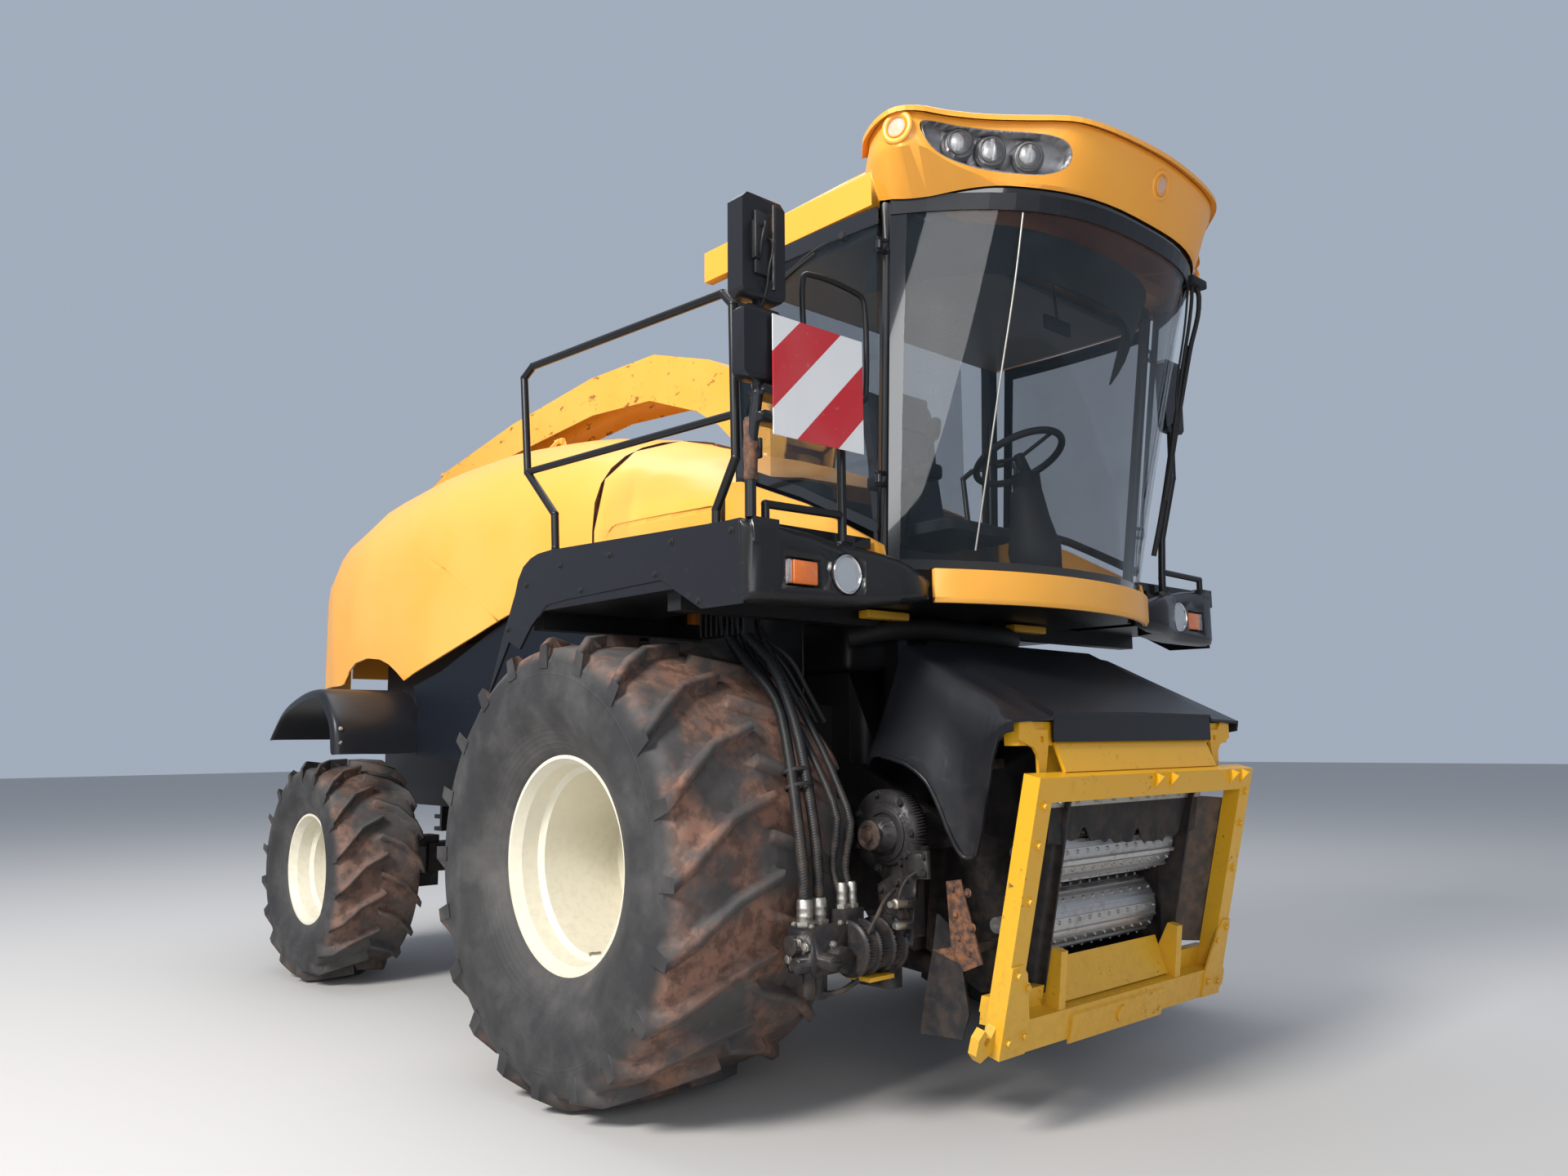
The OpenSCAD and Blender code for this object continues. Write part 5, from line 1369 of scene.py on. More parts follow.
@dataclass
class Cabin:
    """What shows through the glass, the door handles, and the wipers outside."""

    seat_lean: float = 7.0
    seat_fill: float = 0.7
    pad_x: tuple[float, float] = (0.2, 0.91)
    pad_half: float = 0.256
    pad_foot: float = 2.289
    crown: float = 0.55
    groove: float = 0.14
    groove_at: float = 0.62
    groove_wide: float = 0.06
    waist: float = 0.05

    def cushion(self, name: str, low: Vector, high: Vector, lean: float, fill: float) -> Piece:
        """A crowned cushion with a sewn channel near each side.

        Args:
            name: Its name.
            low: Lowest corner before it leans.
            high: Highest corner before it leans.
            lean: Degrees that it leans back about its lower edge.
            fill: How tight it is, 0 to 1; not used.

        Returns:
            The cushion.
        """
        clear()
        bpy.ops.mesh.primitive_cube_add(size=1, location=(low + high) / 2)
        piece = added(name, high - low)
        with editing(piece):
            bpy.ops.mesh.subdivide(number_cuts=9)
        middle, half = (low + high) / 2, (high - low) / 2
        thin = min(range(3), key=lambda axis: half[axis])
        wide = [axis for axis in range(3) if axis != thin]
        for vertex in piece.data.vertices:
            share = [(vertex.co[axis] - middle[axis]) / half[axis] for axis in range(3)]
            rim = max(abs(share[axis]) for axis in wide)
            crown = 1.0 - self.crown * rim ** 5
            groove = self.groove * math.exp(
                -((abs(share[1]) - self.groove_at) / self.groove_wide) ** 2)
            vertex.co[thin] = middle[thin] + share[thin] * half[thin] * (crown - groove)
            for axis, other in (wide, wide[::-1]):
                pull = self.waist * (1 - abs(share[other])) ** 2
                vertex.co[axis] = middle[axis] + share[axis] * half[axis] * (1 - pull * rim)
        modified(piece, "SUBSURF", levels=2, render_levels=2)
        pivot = Matrix.Translation((low.x, 0, low.z))
        turn = Matrix.Rotation(-math.radians(lean), 4, "Y")
        settle(piece, pivot @ turn @ pivot.inverted())
        done(piece, Finishes.CLOTH, angle=60.0)
        return piece

    def trimmed(self) -> Piece:
        """The CAD interior without its plain seat pads.

        Returns:
            What is left of it.
        """
        copy = copy_of("cab_interior", "cab_furniture")
        rear, front = self.pad_x
        with editing(copy, "DESELECT"):
            choose(copy, "verts", lambda corner: (rear < corner.co.x - FRONT_AXLE < front
                                                  and abs(corner.co.y) < self.pad_half
                                                  and corner.co.z > self.pad_foot))
            bpy.ops.mesh.delete(type="VERT")
        return done(copy, Finishes.TRIM)

    def headliner(self) -> None:
        """Dark liner under the roof, and the curved shade behind the windscreen's upper edge."""
        def shade(across: float, along: float) -> Triple:
            """A point of the shade.

            Args:
                across: From -1 at its right edge to 1 at its left edge.
                along: From -1 to 1 over its height.

            Returns:
                The point.
            """
            side, share = abs(across), (along + 1) / 2
            nose = 1.640 * (1 - side ** 2.8) + 1.200 * side ** 2.8
            drop = 0.150 + 0.11 * side ** 3
            return FRONT_AXLE + nose - 0.10 - 0.09 * share, across * 0.905, 3.440 - drop * share

        cover = modified(grid("sun_shade", (24, 6), shade), "SOLIDIFY", thickness=0.008)
        done(cover, Finishes.RUBBER, angle=50.0)
        done(slab("headliner", (300, -900, 3415), (1150, 900, 3452), 0.015, 3), Finishes.GREY)

    def fittings(self) -> None:
        """Armrest with its stick, screen on an arm, mirror, column shroud and pedals."""
        done(slab("armrest", (520, -390, 2530), (900, -290, 2600), 0.02, 3), Finishes.RUBBER)
        done(slab("armrest_stand", (560, -360, 2260), (700, -310, 2535), 0.012), Finishes.TRIM)
        grip = [(0.016, 0), (0.026, 0.012), (0.030, 0.05), (0.024, 0.09), (0.010, 0.10)]
        group("drive_stick", Finishes.RUBBER, [
            tube("stick", 0.013, (850, -340, 2595), (858, -340, 2660), (880, -338, 2715)),
            turned("grip", grip, spot(878, -338, 2705), (0.25, 0, 1))])
        group("screen", Finishes.TRIM, [
            slab("screen", (905, -640, 2700), (945, -440, 2850), 0.010),
            tube("arm", 0.012, (720, -360, 2300), (860, -470, 2480), (925, -540, 2710))])
        group("inner_mirror", Finishes.RUBBER, [
            slab("mirror", (1330, -130, 3140), (1345, 60, 3205), 0.006),
            tube("stem", 0.006, (1338, -35, 3200), (1330, -35, 3300), (1320, -35, 3420))])
        shroud = [(0.060, 0), (0.105, 0.05), (0.115, 0.16), (0.085, 0.30), (0.070, 0.42),
                  (0.040, 0.45)]
        done(turned("column_shroud", shroud, spot(1172, 0, 2060), (-0.12, 0, 1), 24),
             Finishes.TRIM, angle=50.0)
        for index, (x, y) in enumerate(((1260, -170), (1262, -260), (1255, 180))):
            done(slab(f"pedal_{index}", (x - 60, y - 32, 2030), (x, y + 32, 2044), 0.006),
                 Finishes.RUBBER)

    def wipers(self) -> None:
        """Wiper and rod of the windscreen, and the wiper over the right door."""
        group("screen_wiper", Finishes.RUBBER, [
            slab("box", (1600, 560, 3428), (1668, 690, 3470), 0.010),
            tube("arm", 0.011, (1640, 632, 3440), (1648, 640, 3380), (1586, 642, 3138),
                 (1496, 642, 2769), (1430, 640, 2480)),
            tube("low_arm", 0.008, (1640, 600, 3440), (1630, 596, 3330), (1560, 600, 3020),
                 (1470, 636, 2660)),
            tube("blade", 0.012, (1560, 690, 3190), (1470, 694, 2840), (1376, 694, 2420),
                 (1330, 690, 2240)),
            tube("bridge", 0.010, (1500, 640, 2800), (1470, 672, 2830), (1464, 694, 2815)),
            tube("wash_hose", 0.005, (1632, 580, 3440), (1610, 570, 3250), (1540, 590, 2950),
                 (1508, 640, 2800))])
        done(tube("wiper_rod", 0.004, (1606, -640, 3400), (1550, -632, 3138), (1462, -628, 2769),
                  (1376, -624, 2396), (1314, -622, 2130)), Finishes.ZINC, angle=60.0)
        group("door_wiper", Finishes.RUBBER, [
            tube("arm", 0.007, (1010, -1012, 3395), (880, -1024, 3388), (700, -1034, 3330)),
            tube("blade", 0.008, (860, -1023, 3372), (700, -1031, 3322), (520, -1026, 3250)),
            turned("hub", [(0.022, 0), (0.022, 0.02), (0.015, 0.03)], spot(1012, -1000, 3395),
                   RIGHTWARD)], "door_right")

    def handles(self) -> None:
        """Door handles with their lock plates."""
        for side, sign in SIDES:
            bow = [(x, sign * y, 2645) for x, y in ((395, 985), (400, 1012), (450, 1012),
                                                    (456, 985))]
            plate = slab("plate", (380, sign * 968, 2600), (470, sign * 985, 2690), 0.006)
            group(f"door_handle_{side}", Finishes.BLACK, [plate, tube("grip", 0.009, *bow)],
                  f"door_{side}")

    def build(self) -> None:
        """Makes the cabin's pieces."""
        base = self.cushion("seat_base", spot(420, -250, 2290), spot(900, 250, 2400), 0.0,
                            self.seat_fill)
        back = self.cushion("seat_back", spot(395, -240, 2392), spot(505, 240, 3060),
                            self.seat_lean, self.seat_fill)
        for piece in (self.trimmed(), base, back):
            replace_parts(piece, "cab_interior")
        self.headliner()
        self.fittings()
        self.wipers()
        self.handles()


@dataclass
class Intake:
    """Small parts of the header frame, the feed housing, the rolls and the black hood."""

    lean: float = 13.0
    foot: tuple[float, float] = (1400.0, 310.0)
    deep: float = 70.0
    upper: Triple = (1375.0, 0.0, 975.0)
    lower: Triple = (1270.0, 0.0, 700.0)
    bar_radius: float = 0.122
    bars: int = 10
    # rays round a roll, and how far its slats turn on from the middle between two bars
    rays: int = 180
    slat_turn: float = 3.0
    bar_rise: float = 0.004
    # rays that find the hood's lower edges: start, step and count along x and down z
    rim_x: tuple[float, float, int] = (0.885, 0.0118, 62)
    rim_z: tuple[float, float, int] = (1.62, 0.006, 110)
    rim_inner: float = 0.45
    rim_top: float = 1.56
    rim_radius: float = 0.009

    def leaned(self, x: float, y: float, z: float) -> Triple:
        """A point of the header frame's own upright drawing, leaned forward with the frame.

        Args:
            x: Millimetres ahead of the frame's foot.
            y: Millimetres to the left.
            z: Millimetres above the frame's foot.

        Returns:
            The point in millimetres, as spot takes it.
        """
        turn = math.radians(self.lean)
        return (self.foot[0] + x * math.cos(turn) + z * math.sin(turn), y,
                self.foot[1] - x * math.sin(turn) + z * math.cos(turn))

    def ahead(self) -> Vector:
        """Where the front of the leaned frame looks."""
        turn = math.radians(self.lean)
        return Vector((math.cos(turn), 0, -math.sin(turn)))

    def heads(self) -> None:
        """Bolt heads of the frame's plates and of the rusty guard plate."""
        seats = [(self.deep + 8, sign * y, z) for sign in (-1, 1)
                 for y, z in ((755, 300), (755, 60), (690, 250), (665, 70))]
        seats += [(self.deep, sign * 745, z) for sign in (-1, 1) for z in (560, 760, 900)]
        frames = facing(self.ahead(), [self.leaned(*seat) for seat in seats])
        done(bolts("frame_bolts", frames, 0.026, 0.012), Finishes.HEADER, "feeder")
        seats = [(x, -818.2, z) for x, z in ((1318, 870), (1385, 860), (1340, 700), (1385, 650),
                                             (1330, 780), (1400, 740))]
        done(bolts("guard_bolts", facing(RIGHTWARD, seats), 0.022, 0.009), Finishes.RUST,
             "feeder")

    def flap(self) -> None:
        """The torn rubber flap under the upper beam, with its clamp strip and bolts."""
        def torn(across: float, along: float) -> Vector:
            """A point of the flap.

            Args:
                across: From -1 at its right edge to 1 at its left edge.
                along: From -1 to 1 over its height.

            Returns:
                The point.
            """
            down = (1 - along) / 2
            notch = (max(0.0, math.sin(9.0 * across + 0.4)) ** 8
                     + max(0.0, math.sin(23.0 * across)) ** 14)
            edge = (0.020 * math.sin(3.1 * across + 0.6) + 0.006 * math.sin(41.0 * across)
                    - 0.060 * notch)
            wave = (0.010 * down * math.sin(6.0 * across)
                    + 0.006 * down * down * math.sin(19.0 * across))
            drop = down * (0.165 + edge)
            return spot(1560 - 22 * down + wave * 1000, across * 545, 1168 - drop * 1000)

        flap = modified(grid("rubber_flap", (44, 12), torn), "SOLIDIFY", thickness=0.006)
        done(flap, Finishes.RUBBER, "feeder", 50.0)
        strip = block("clamp_strip", (0, -0.55, -0.020), (0.006, 0.55, 0.020), 0.002, 1)
        turn = Matrix.Rotation(math.radians(self.lean), 4, "Y")
        settle(strip, Matrix.Translation(spot(1562, 0, 1172)) @ turn)
        seats = facing(self.ahead(), [(1569, y, 1171) for y in range(-500, 501, 125)])
        group("clamp_strip", Finishes.ZINC, [strip, bolts("heads", seats, 0.016, 0.007)],
              "feeder")

    def pan(self) -> None:
        """The dented yellow sheet that rises from the lower beam to under the lower roll."""
        def dented(across: float, along: float) -> Vector:
            """A point of the sheet.

            Args:
                across: From -1 at its right edge to 1 at its left edge.
                along: From -1 to 1 over its height.

            Returns:
                The point.
            """
            up = (along + 1) / 2
            dent = 6 * math.sin(7.0 * across + 1.0) * up * (1 - up)
            return spot(1462 - 66 * up + 14 * up * up + dent, across * 398, 428 + 150 * up)

        sheet = modified(grid("lower_pan", (30, 10), dented), "SOLIDIFY", thickness=0.008)
        done(sheet, Finishes.HEADER, "feeder", 50.0)

    def lips(self) -> None:
        """The rolled rim along each lower edge of the black hood, found by rays from the side."""
        hood = bpy.data.objects["feeder_hood_skin"]
        (rear, ahead, steps), (top, down, drops) = self.rim_x, self.rim_z
        rims = []
        for sign in (-1, 1):
            points = []
            for step in range(steps):
                x = FRONT_AXLE + rear + step * ahead
                lowest = None
                for drop in range(drops):
                    start = Vector((x, sign * 2.0, top - drop * down))
                    hit, place, _, _ = hood.ray_cast(start, Vector((0, -sign, 0)))
                    if not hit or place.y * sign < self.rim_inner:
                        break
                    lowest = place
                if lowest is not None and lowest.z < self.rim_top:
                    points.append(lowest.copy())
            last = len(points) - 1
            even = [(points[max(k - 1, 0)] + points[k] + points[min(k + 1, last)]) / 3
                    for k in range(len(points))]
            rims.append(pipe(f"rim_{sign}", even, self.rim_radius, sides=8))
        group("hood_rims", Finishes.BLACK, rims, "feeder", 60.0)

    def slats(self, node: str, middle: Vector) -> None:
        """Flat steel strips with bolt rows between the bars of a feed roll.

        Args:
            node: The roll's node, which is its body too.
            middle: Its middle.
        """
        roll = frame["nodes"][node]
        aside = Vector((0, 0.013, 0))
        reach = []
        for step in range(self.rays):
            turn = 2 * math.pi * step / self.rays
            way = Vector((math.sin(turn), 0, math.cos(turn)))
            hit, place, _, _ = roll.ray_cast(middle + way * 0.3 + aside, -way)
            reach.append((place - middle - aside).length if hit else 0.0)
        drum = min(reach)
        bars = [step for step in range(self.rays)
                if reach[step] > drum + self.bar_rise >= reach[step - 1]]
        strips, rows = [], []
        for first, after in zip(bars, bars[1:] + [bars[0] + self.rays]):
            degrees = (first + after) * 180 / self.rays + self.slat_turn
            turn = Matrix.Rotation(math.radians(degrees), 4, "Y")
            strips.append(Matrix.Translation(middle) @ turn @ Matrix.Translation((0, 0, drum)))
            rows += [Matrix.Translation(middle + Vector((0, step * 0.070, 0))) @ turn
                     @ Matrix.Translation((0, 0, drum + 0.003)) for step in range(-6, 7)]
        strip = block("slat", (-0.016, -0.435, 0), (0.016, 0.435, 0.003), 0.001, 1)
        done(repeated(strip, strips, f"{node}_slats"), Finishes.STEEL, node)
        done(bolts(f"{node}_slat_bolts", rows, 0.013, 0.005), Finishes.ZINC, node)

    def teeth(self) -> None:
        """Saw teeth along the bars of the upper roll."""
        clear()
        bpy.ops.mesh.primitive_cube_add(size=1)
        tooth = added("tooth", (0.006, 0.020, 0.016))
        with editing(tooth, "DESELECT"):
            choose(tooth, "faces", lambda face: face.normal.z > 0.5)
            bpy.ops.transform.resize(value=(0.5, 0.2, 1.0))
        middle = spot(*self.upper)
        frames = [Matrix.Translation(middle + Vector((0, step * 0.030, 0)))
                  @ Matrix.Rotation(2 * math.pi * bar / self.bars, 4, "Y")
                  @ Matrix.Translation((0, 0, self.bar_radius))
                  for bar in range(self.bars) for step in range(-14, 15)]
        done(repeated(tooth, frames, "roll_teeth"), Finishes.STEEL, "feed_roll_upper")

    def build(self) -> None:
        """Makes the intake's small parts."""
        self.heads()
        self.flap()
        self.pan()
        self.lips()
        self.slats("feed_roll_upper", spot(*self.upper))
        self.slats("feed_roll_lower", spot(*self.lower))
        self.teeth()


@dataclass
class Drive:
    """Bolts, cap and fittings of the header drive, its hoses' ends, and the plumbing behind."""

    case_y: float = -840.0
    leg_y: float = -885.0
    bracket_y: float = -899.0
    top: float = 752.0
    ends: tuple = ((990, -1250, 752.0, 0.021), (988, -1178, 752.0, 0.021),
                   (1030, -1100, 800.0, 0.014), (1030, -1050, 800.0, 0.014))

    def case(self) -> None:
        """Bolts round the case, on the leg and on its bracket, and the rusty cap."""
        seats = [(x, self.leg_y, z) for x, z in ((1030, 850), (1110, 880), (1050, 760),
                                                 (1110, 720), (1120, 800))]
        seats += [(x, self.bracket_y, z) for x, z in ((1170, 985), (1170, 900), (1165, 700),
                                                      (1250, 985), (1255, 925))]
        frames = ring(spot(1005, self.case_y, 1058), 0.142, 7, -1) + facing(RIGHTWARD, seats)
        done(bolts("drive_bolts", frames, 0.024, 0.011), Finishes.CAST)
        cap = [(0.052, 0), (0.056, 0.004), (0.056, 0.010), (0.050, 0.016), (0.038, 0.016),
               (0.034, 0.010), (0.024, 0.010), (0.022, 0.022), (0.008, 0.024)]
        done(turned("rusty_cap", cap, spot(1020, -932.2, 1050), RIGHTWARD, 40),
             Finishes.OLD_RUST)
        rim = [(0.102, 0), (0.102, 0.006), (0.094, 0.010), (0.080, 0.010), (0.076, 0.004)]
        done(turned("case_ring", rim, spot(1020, -854.2, 1050), RIGHTWARD, 48), Finishes.CAST)

    def nut(self, place: Triple, axis: Triple, radius: float, tall: float) -> Piece:
        """A hexagon union nut with its collar.

        Args:
            place: Its foot, in millimetres.
            axis: Where it looks.
            radius: Its radius over the corners.
            tall: Its height.

        Returns:
            The nut.
        """
        seat = spot(*place)
        hexagon = [(radius * 0.9, 0), (radius, 0.002), (radius, tall * 0.6),
                   (radius * 0.9, tall * 0.64)]
        neck = [(radius * 0.66, tall * 0.6), (radius * 0.70, tall * 0.7),
                (radius * 0.70, tall * 0.95), (radius * 0.60, tall)]
        return joined([turned("nut", hexagon, seat, axis, 6), turned("neck", neck, seat, axis)],
                      "nut")

    def fittings(self) -> None:
        """Crimped sleeves and union nuts at the lower ends of the hoses."""
        sleeves = []
        for x, y, z, radius in self.ends:
            wide = radius * 1.35
            rings = ((1, 0.000), (1, 0.028), (1.06, 0.031), (1.06, 0.037), (1, 0.040),
                     (1, 0.055), (1.06, 0.058), (1.06, 0.064), (1, 0.067), (1, 0.085))
            profile = [(wide * share, height) for share, height in rings]
            sleeves.append(turned("sleeve", profile + [(radius * 1.12, 0.092)], spot(x, y, z),
                                  UP, 24))
        group("hose_sleeves", Finishes.ZINC, sleeves)
        group("hose_unions", Finishes.ZINC,
              [self.nut((x, y, z - 1), UP, radius * 1.75, 0.026) for x, y, z, radius in self.ends])

    def valves(self) -> None:
        """Plugs, pipes and sensors of the valve block, and the yellow foot of the leg."""
        plugs = [(x, -1292, z, RIGHTWARD, 0.019, 0.020)
                 for x, z in ((960, 640), (1010, 700), (1045, 690), (985, 615))]
        plugs += [(1075, y, z, (1, 0, 0), 0.016, 0.018)
                  for y, z in ((-1150, 640), (-1200, 690), (-1255, 640))]
        plugs += [(x, y, self.top, UP, 0.012, 0.014)
                  for x, y in ((960, -1275), (1050, -1275), (1060, -1140))]
        group("block_plugs", Finishes.ZINC,
              [self.nut((x, y, z), axis, radius, tall) for x, y, z, axis, radius, tall in plugs])
        group("block_pipes", Finishes.RUBBER, [
            tube("upper", 0.008, (1120, -1090, 690), (1150, -1060, 760), (1150, -1000, 830),
                 (1140, -940, 860)),
            tube("lower", 0.010, (1010, -1235, 590), (1010, -1235, 540), (1060, -1180, 520),
                 (1110, -1100, 560)),
            tube("wire", 0.006, (1245, -905, 940), (1215, -960, 900), (1190, -980, 820),
                 (1150, -960, 760))])
        done(slab("leg_foot", (1000, -1060, 546), (1125, -930, 562), 0.003), Finishes.HEADER)
        large = [(0.018, 0), (0.018, 0.05), (0.012, 0.054), (0.012, 0.075)]
        small = [(0.016, 0), (0.016, 0.04), (0.010, 0.05)]
        group("drive_sensors", Finishes.ZINC, [
            turned("large", large, spot(1190, -945, 820), RIGHTWARD),
            turned("small", small, spot(1176, -933, 740), RIGHTWARD)])

    def ties(self) -> None:
        """Black ties that hold the hoses together half way down."""
        loops = []
        for seat in facing((0.42, -0.1, -1), [(880, -1178, 1290), (905, -1190, 1235)]):
            clear()
            bpy.ops.mesh.primitive_torus_add(major_segments=32, minor_segments=8,
                                             major_radius=0.050, minor_radius=0.005)
            loops.append(settle(added("tie", (0.75, 1.05, 1.6)), seat))
        group("hose_ties", Finishes.RUBBER, loops)

    def plumbing(self) -> None:
        """Slats, small pipes and fittings under the deck, behind the hoses."""
        group("deck_slats", Finishes.FRAME, [
            slab("slat", (300 + 34 * k, -1180, 1830), (312 + 34 * k, -1120, 1960), 0.003, 1)
            for k in range(9)])
        places = [(k, 330 + 46 * k) for k in range(6)]
        group("deck_pipes", Finishes.RUBBER, [
            tube("small", 0.009 + 0.002 * (k % 2), (x, -1060, 1955), (x + 4, -1060, 1840),
                 (x + 40 + 12 * k, -1000, 1730), (x + 130, -930, 1600), (x + 150, -860, 1480))
            for k, x in places])
        group("deck_nuts", Finishes.ZINC,
              [self.nut((x, -1060, 1925), UP, 0.016, 0.030) for _, x in places])

    def build(self) -> None:
        """Makes the drive's small parts."""
        self.case()
        self.fittings()
        self.valves()
        self.ties()
        self.plumbing()


@dataclass
class Wheels:
    """Rings of nuts and the valves of the four rims."""

    circles: tuple = (("front", 0.148), ("rear", 0.132))
    nuts: int = 10
    ray: float = 1.2
    valve_depth: float = 0.6
    valve_reach: float = 0.84

    def disc_face(self, node: str, middle: Vector, radius: float, outward: int) -> float:
        """The y of the disc's outer face where the nuts sit.

        Args:
            node: The rim's node.
            middle: The rim's middle.
            radius: Where the nuts sit.
            outward: Side of the machine, -1 or 1.

        Returns:
            The y of the face that a ray from outside meets.
        """
        start = middle + Vector((radius, outward * self.ray, 0))
        hit, place, _, _ = frame["nodes"][node].ray_cast(start, Vector((0, -outward, 0)))
        return place.y if hit else middle.y

    def build(self) -> None:
        """Makes the nuts and the valve of each wheel."""
        for end, radius in self.circles:
            for side, outward in SIDES:
                body, node = f"wheel_{end}_{side}", f"rim_{end}_{side}"
                low, high = (Vector(corner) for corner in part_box(node))
                middle, edge = (low + high) / 2, (high.z - low.z) / 2
                face = self.disc_face(node, middle, radius, outward)
                frames = ring(Vector((middle.x, face, middle.z)), radius, self.nuts, outward, 0.5)
                done(bolts(f"{body}_nuts", frames, 0.034, 0.024), Finishes.RUST, body)
                depth = abs(face - middle.y) * self.valve_depth
                foot = (middle.x, middle.y + outward * depth, middle.z - edge * self.valve_reach)
                profile = [(0.006, 0), (0.006, 0.030), (0.008, 0.032), (0.008, 0.050)]
                valve = turned(f"{body}_valve", profile, foot, (0, outward, 0), 12)
                done(valve, Finishes.ZINC, body)


@dataclass
class Fenders:
    """Rear fenders with a rolled outer edge and a front apron, in place of the plain plates."""

    inner: float = 950.0
    outer: float = 1498.0
    middle: tuple[float, float] = (-3170.0, 1300.0)
    # outline from the rear, and the section's share of the width with its drop
    path: tuple = ((-3768, 1446), (-3660, 1548), (-3540, 1642), (-3350, 1700), (-3147, 1743),
                   (-2950, 1744), (-2850, 1690), (-2722, 1566), (-2690, 1480), (-2680, 1352))
    section: tuple = ((0.0, 0.0), (0.25, 0.0), (0.5, 0.0), (0.75, 0.0), (0.90, 1.0),
                      (0.965, 6.0), (0.99, 22.0), (1.0, 52.0))
    wall_y: float = 0.963

    def rolled(self, along: float, across: float) -> Vector:
        """A point of the left fender's sheet.

        Args:
            along: From its rear end at -1 to its apron at 1.
            across: From its inner edge at -1 to its rolled edge at 1.

        Returns:
            The point.
        """
        row = round((along + 1) / 2 * (len(self.path) - 1))
        share, drop = self.section[round((across + 1) / 2 * (len(self.section) - 1))]
        point = Vector(self.path[row])
        point -= (point - Vector(self.middle)).normalized() * drop
        return spot(point.x, self.inner + (self.outer - self.inner) * share, point.y)

    def build(self) -> None:
        """Makes both fenders, their inner walls and bolts."""
        left = grid("fender_left", (len(self.path) - 1, len(self.section) - 1), self.rolled)
        with editing(left):
            bpy.ops.mesh.normals_make_consistent(inside=False)
        modified(left, "SUBSURF", levels=2, render_levels=2)
        modified(left, "SOLIDIFY", thickness=0.010, offset=0)
        walls = copy_of("rear_fenders", "fender_walls")
        with editing(walls, "DESELECT"):
            choose(walls, "faces", lambda face: any(abs(corner.co.y) > self.wall_y
                                                    for corner in face.verts))
            bpy.ops.mesh.delete(type="FACE")
        right = mirrored(left, "fender_right")
        for piece, angle in ((walls, 35.0), (left, 50.0), (right, 50.0)):
            done(piece, Finishes.BLACK, angle=angle)
            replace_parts(piece, "rear_fenders")
        seats = [(x, sign * 1460, z) for sign in (-1, 1) for x, z in ((-2694, 1500),
                                                                      (-2690, 1420))]
        done(bolts("fender_bolts", facing((0.9, 0, 0.45), seats), 0.018, 0.006), Finishes.ZINC)


@dataclass
class Underside:
    """Tank, duct, carrier, and flat dark walls that close the view under the cab and the hoods:
    partly the real arch and frame walls, partly painted shade.
    """

    # dark walls of the left side, partly real walls and partly painted shade under the machine:
    # name, two corners in millimetres, rounding
    sides: tuple = (("arch_shade_wall", (-760, 700, 1310), (420, 690, 1955), 0.003),
                    ("cross_shade_wall", (396, 455, 560), (402, 690, 1560), 0.001),
                    ("engine_shade_wall", (-4100, 555, 1000), (-2640, 562, 2050), 0.001))

    def build(self) -> None:
        """Makes the pieces."""
        walls = [slab("floor_tank", (-235, -500, 1702), (500, 500, 1956), 0.04, 4),
                 slab("cross_shade_wall_middle", (396, -450, 650), (402, 450, 1105), 0.001, 1)]
        for side, sign in SIDES:
            walls += [slab(f"{name}_{side}", (low[0], sign * low[1], low[2]),
                           (high[0], sign * high[1], high[2]), edge, 1)
                      for name, low, high, edge in self.sides]
            carrier = slab(f"carrier_{side}", (700, sign * 380, 1915), (760, sign * 640, 1950),
                           0.006)
            done(carrier, Finishes.HEADER)
        # painted shade: the walls are near-black sheets that close the view where the underside
        # lies in shade
        for wall in walls:
            done(wall, Finishes.FRAME)
        duct = tube("floor_duct", 0.045, (560, -560, 1850), (700, -420, 1880), (760, 0, 1885),
                    (700, 420, 1880), (560, 560, 1850), sides=6)
        done(duct, Finishes.RUBBER)


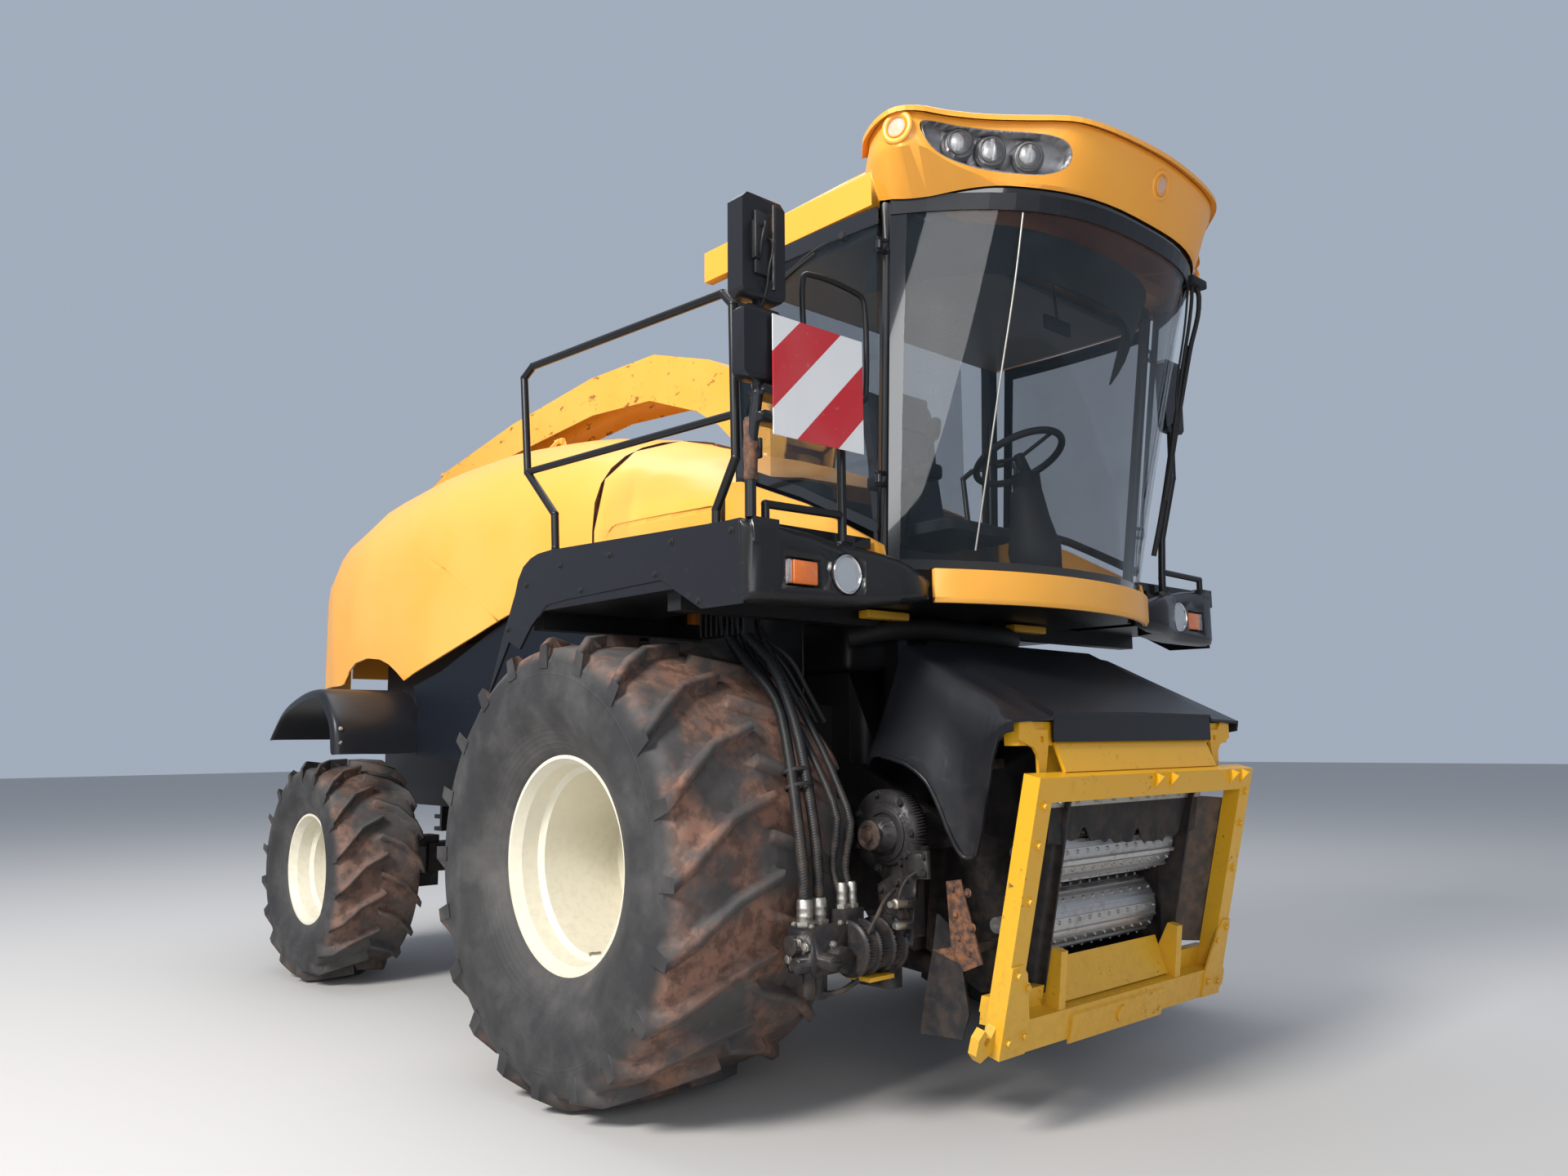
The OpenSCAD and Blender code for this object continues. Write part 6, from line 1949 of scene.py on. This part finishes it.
@dataclass
class Trim:
    """Mirror faces and mounts, the board's loop, rear lamps, treads, screws and rail feet."""

    lamp_y: float = 0.72
    lamp_z: float = 2.05
    screw_y: float = 1630.2
    rail_z: float = 2178.0
    top_step: tuple[float, float] = (-430.0, 1975.0)
    step_run: float = 180.0
    step_rise: float = 230.0
    step_half: float = 14.0

    def mirrors(self) -> None:
        """Silvered faces of the mirrors, and the rods, clamps and loose cable behind them."""
        faces = [slab("face", (x - 2, low, foot), (x, high, top), 0.0009, 1)
                 for x, low, high, foot, top in ((1109.4, -1690, -1510, 2940, 3290),
                                                 (1119.4, -1680, -1520, 2650, 2890),
                                                 (1181.4, 1070, 1220, 2940, 3290))]
        group("mirror_faces", Finishes.REFLECTOR, faces)
        group("mirror_mount", Finishes.CAST, [
            slab("mount", (1190, -1650, 3010), (1202, -1560, 3240), 0.004),
            slab("mount", (1190, -1660, 3060), (1214, -1640, 3200), 0.004),
            tube("rod", 0.008, (1212, -1575, 2960), (1214, -1575, 3270), bent=False),
            tube("cable", 0.004, (1200, -1615, 3190), (1240, -1640, 3180), (1235, -1655, 3090),
                 (1205, -1630, 3060)),
            tube("cable", 0.004, (1200, -1590, 3150), (1235, -1600, 3120), (1225, -1610, 3020),
                 (1200, -1600, 2960), (1165, -1600, 2900))])
        wrap = [(0.021, 0), (0.025, 0.01), (0.024, 0.05), (0.027, 0.10), (0.024, 0.16),
                (0.026, 0.21), (0.021, 0.22)]
        done(turned("post_wrap", wrap, spot(1112, -1600, 2300), UP, 16), Finishes.RUST)

    def board_loop(self) -> None:
        """The bent tube that carries the warning board and serves as a grab rail."""
        bends = ((-1410, 2860), (-1410, 3045), (-1400, 3072), (-1370, 3082), (-1135, 3074),
                 (-1100, 3062), (-1088, 3030), (-1088, 2700), (-1096, 2668), (-1130, 2656))
        loop = tube("board_loop", 0.011, *((1185, y, z) for y, z in bends), sides=8)
        done(loop, Finishes.TUBE, angle=60.0)

    def rear_lamps(self) -> None:
        """A round red lamp on each side of the tail."""
        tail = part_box("hood_centre")[0][0]
        for side, sign in SIDES:
            start = Vector((tail - 1.0, sign * self.lamp_y, self.lamp_z))
            hit, seat, _, _ = bpy.data.objects["hood_centre_skin"].ray_cast(start, (1, 0, 0))
            place = seat if hit else Vector((tail - 0.002, start.y, start.z))
            base = [(0.062, -0.02), (0.066, 0.004), (0.060, 0.010)]
            lens = [(0.056, 0.009), (0.055, 0.020), (0.045, 0.026), (0.020, 0.029)]
            for name, profile, finish in (("rear_lamp_base", base, Finishes.RUBBER),
                                          ("rear_lamp", lens, Finishes.RED)):
                done(turned(f"{name}_{side}", profile, place, (-1, 0, 0), 36), finish)

    def step_treads(self) -> None:
        """Rows of raised grip studs on the ladder's steps."""
        profile = [(0.007, 0), (0.0065, 0.003), (0.0045, 0.0045)]
        stud = turned("stud", profile, (0, 0, 0), UP, 8)
        frames = []
        for step in range(1, 6):
            x = self.top_step[0] - self.step_run * step - 115
            z = self.top_step[1] - self.step_rise * step + self.step_half
            frames += [Matrix.Translation(spot(x + row * 40, 1160 + column * 31, z))
                       for row in range(4) for column in range(12)]
        done(repeated(stud, frames, "step_studs"), Finishes.ZINC)

    def panel_screws(self) -> None:
        """Screws along the platforms' outer panels."""
        frames = []
        for sign in (-1, 1):
            frames += facing((0, sign, 0), [(x, sign * self.screw_y, z) for x, z in (
                (1040, 2130), (700, 2135), (300, 2135), (-60, 2135), (-330, 2080), (-480, 1900),
                (860, 1900), (600, 2025), (100, 2015))])
        done(bolts("panel_screws", frames, 0.018, 0.006), Finishes.RUBBER)

    def rail_feet(self) -> None:
        """Flanges with bolts under the handrails."""
        parts, seats = [], []
        for x, y in ((-180, -1580), (900, -1580), (-180, 1580), (-60, 1580)):
            low, high = (x - 40, y - 28, self.rail_z - 7.6), (x + 40, y + 28, self.rail_z)
            parts.append(slab("foot", low, high, 0.002, 1))
            seats += [Matrix.Translation(spot(x + aside, y, self.rail_z)) for aside in (-30, 30)]
        group("rail_feet", Finishes.TUBE, parts + [bolts("heads", seats, 0.014, 0.006)])

    def build(self) -> None:
        """Makes the trim."""
        self.mirrors()
        self.board_loop()
        self.rear_lamps()
        self.step_treads()
        self.panel_screws()
        self.rail_feet()


@dataclass
class Studio:
    """Camera at the photograph's place, pale floor and soft lights."""

    eye: Triple = (5.4285, -4.1865, 1.404)
    yaw: float = 2.39495
    pitch: float = 0.131165
    roll: float = -0.0093876
    lens: float = 26.648
    sensor: float = 36.0
    far: float = 200.0
    floor_half: float = 60.0
    floor_drop: float = 0.001
    floor_grey: Triple = (0.50, 0.49, 0.48)
    sky: tuple[float, float, float, float] = (0.66, 0.76, 0.92, 1.0)
    sky_power: float = 0.55

    def camera(self) -> None:
        """Makes the camera."""
        level = math.cos(self.pitch)
        forward = Vector((level * math.cos(self.yaw), level * math.sin(self.yaw),
                          math.sin(self.pitch)))
        right = forward.cross(Vector(UP)).normalized()
        up = right.cross(forward)
        turn = Matrix.Rotation(self.roll, 3, -forward)
        axes = Matrix((turn @ right, turn @ up, -forward)).transposed().to_4x4()
        data = bpy.data.cameras.new("camera")
        data.lens = self.lens
        data.sensor_width = self.sensor
        data.clip_end = self.far
        camera = bpy.data.objects.new("camera", data)
        camera.matrix_world = Matrix.Translation(self.eye) @ axes
        bpy.context.collection.objects.link(camera)
        bpy.context.scene.camera = camera

    def floor(self) -> None:
        """Makes the pale floor."""
        bpy.ops.mesh.primitive_plane_add(size=2 * self.floor_half,
                                         location=(0, 0, -self.floor_drop))
        floor = bpy.context.object
        floor.name = "floor"
        net = Net("floor")
        net.set(Base_Color=self.floor_grey, Roughness=0.85)
        floor.data.materials.append(net.material)

    def light(self, name: str, place: Triple, target: Triple, size: float, power: float,
              colour: Triple = (1.0, 1.0, 1.0)) -> None:
        """Adds one area light.

        Args:
            name: Its name.
            place: Where it stands.
            target: What it faces.
            size: Its side in metres.
            power: Its power in watts.
            colour: Its colour.
        """
        data = bpy.data.lights.new(name, "AREA")
        data.size = size
        data.energy = power
        data.color = colour
        lamp = bpy.data.objects.new(name, data)
        turn = (Vector(target) - Vector(place)).to_track_quat("-Z", "Y").to_matrix().to_4x4()
        lamp.matrix_world = Matrix.Translation(place) @ turn
        bpy.context.collection.objects.link(lamp)

    def build(self) -> None:
        """Makes the whole studio."""
        self.camera()
        self.floor()
        scene = bpy.context.scene
        scene.world = scene.world or bpy.data.worlds.new("world")
        scene.world.use_nodes = True
        sky = scene.world.node_tree.nodes["Background"]
        sky.inputs[0].default_value = self.sky
        sky.inputs[1].default_value = self.sky_power
        scene.view_settings.view_transform = "Standard"
        self.light("key", (3.0, -11.0, 9.0), (0.0, 0.0, 1.6), 3.5, 2300.0, (1.0, 0.97, 0.92))
        self.light("front", (11.0, -7.0, 4.0), (1.0, 0.0, 1.5), 5.0, 350.0)
        self.light("top", (-2.0, 1.0, 12.0), (-1.0, 0.0, 2.0), 9.0, 700.0)


def main() -> None:
    """Builds the studio, dresses the machine and adds its small parts."""
    logging.basicConfig(level=logging.INFO, format="%(message)s")
    Studio().build()
    CadDress().dress()
    Shells().build()
    for part in (Lamps(), Cabin(), Intake(), Drive(), Wheels(), Fenders(), Underside(), Trim()):
        part.build()
        log.info("finished %s", type(part).__name__)


if __name__ == "__main__":
    main()
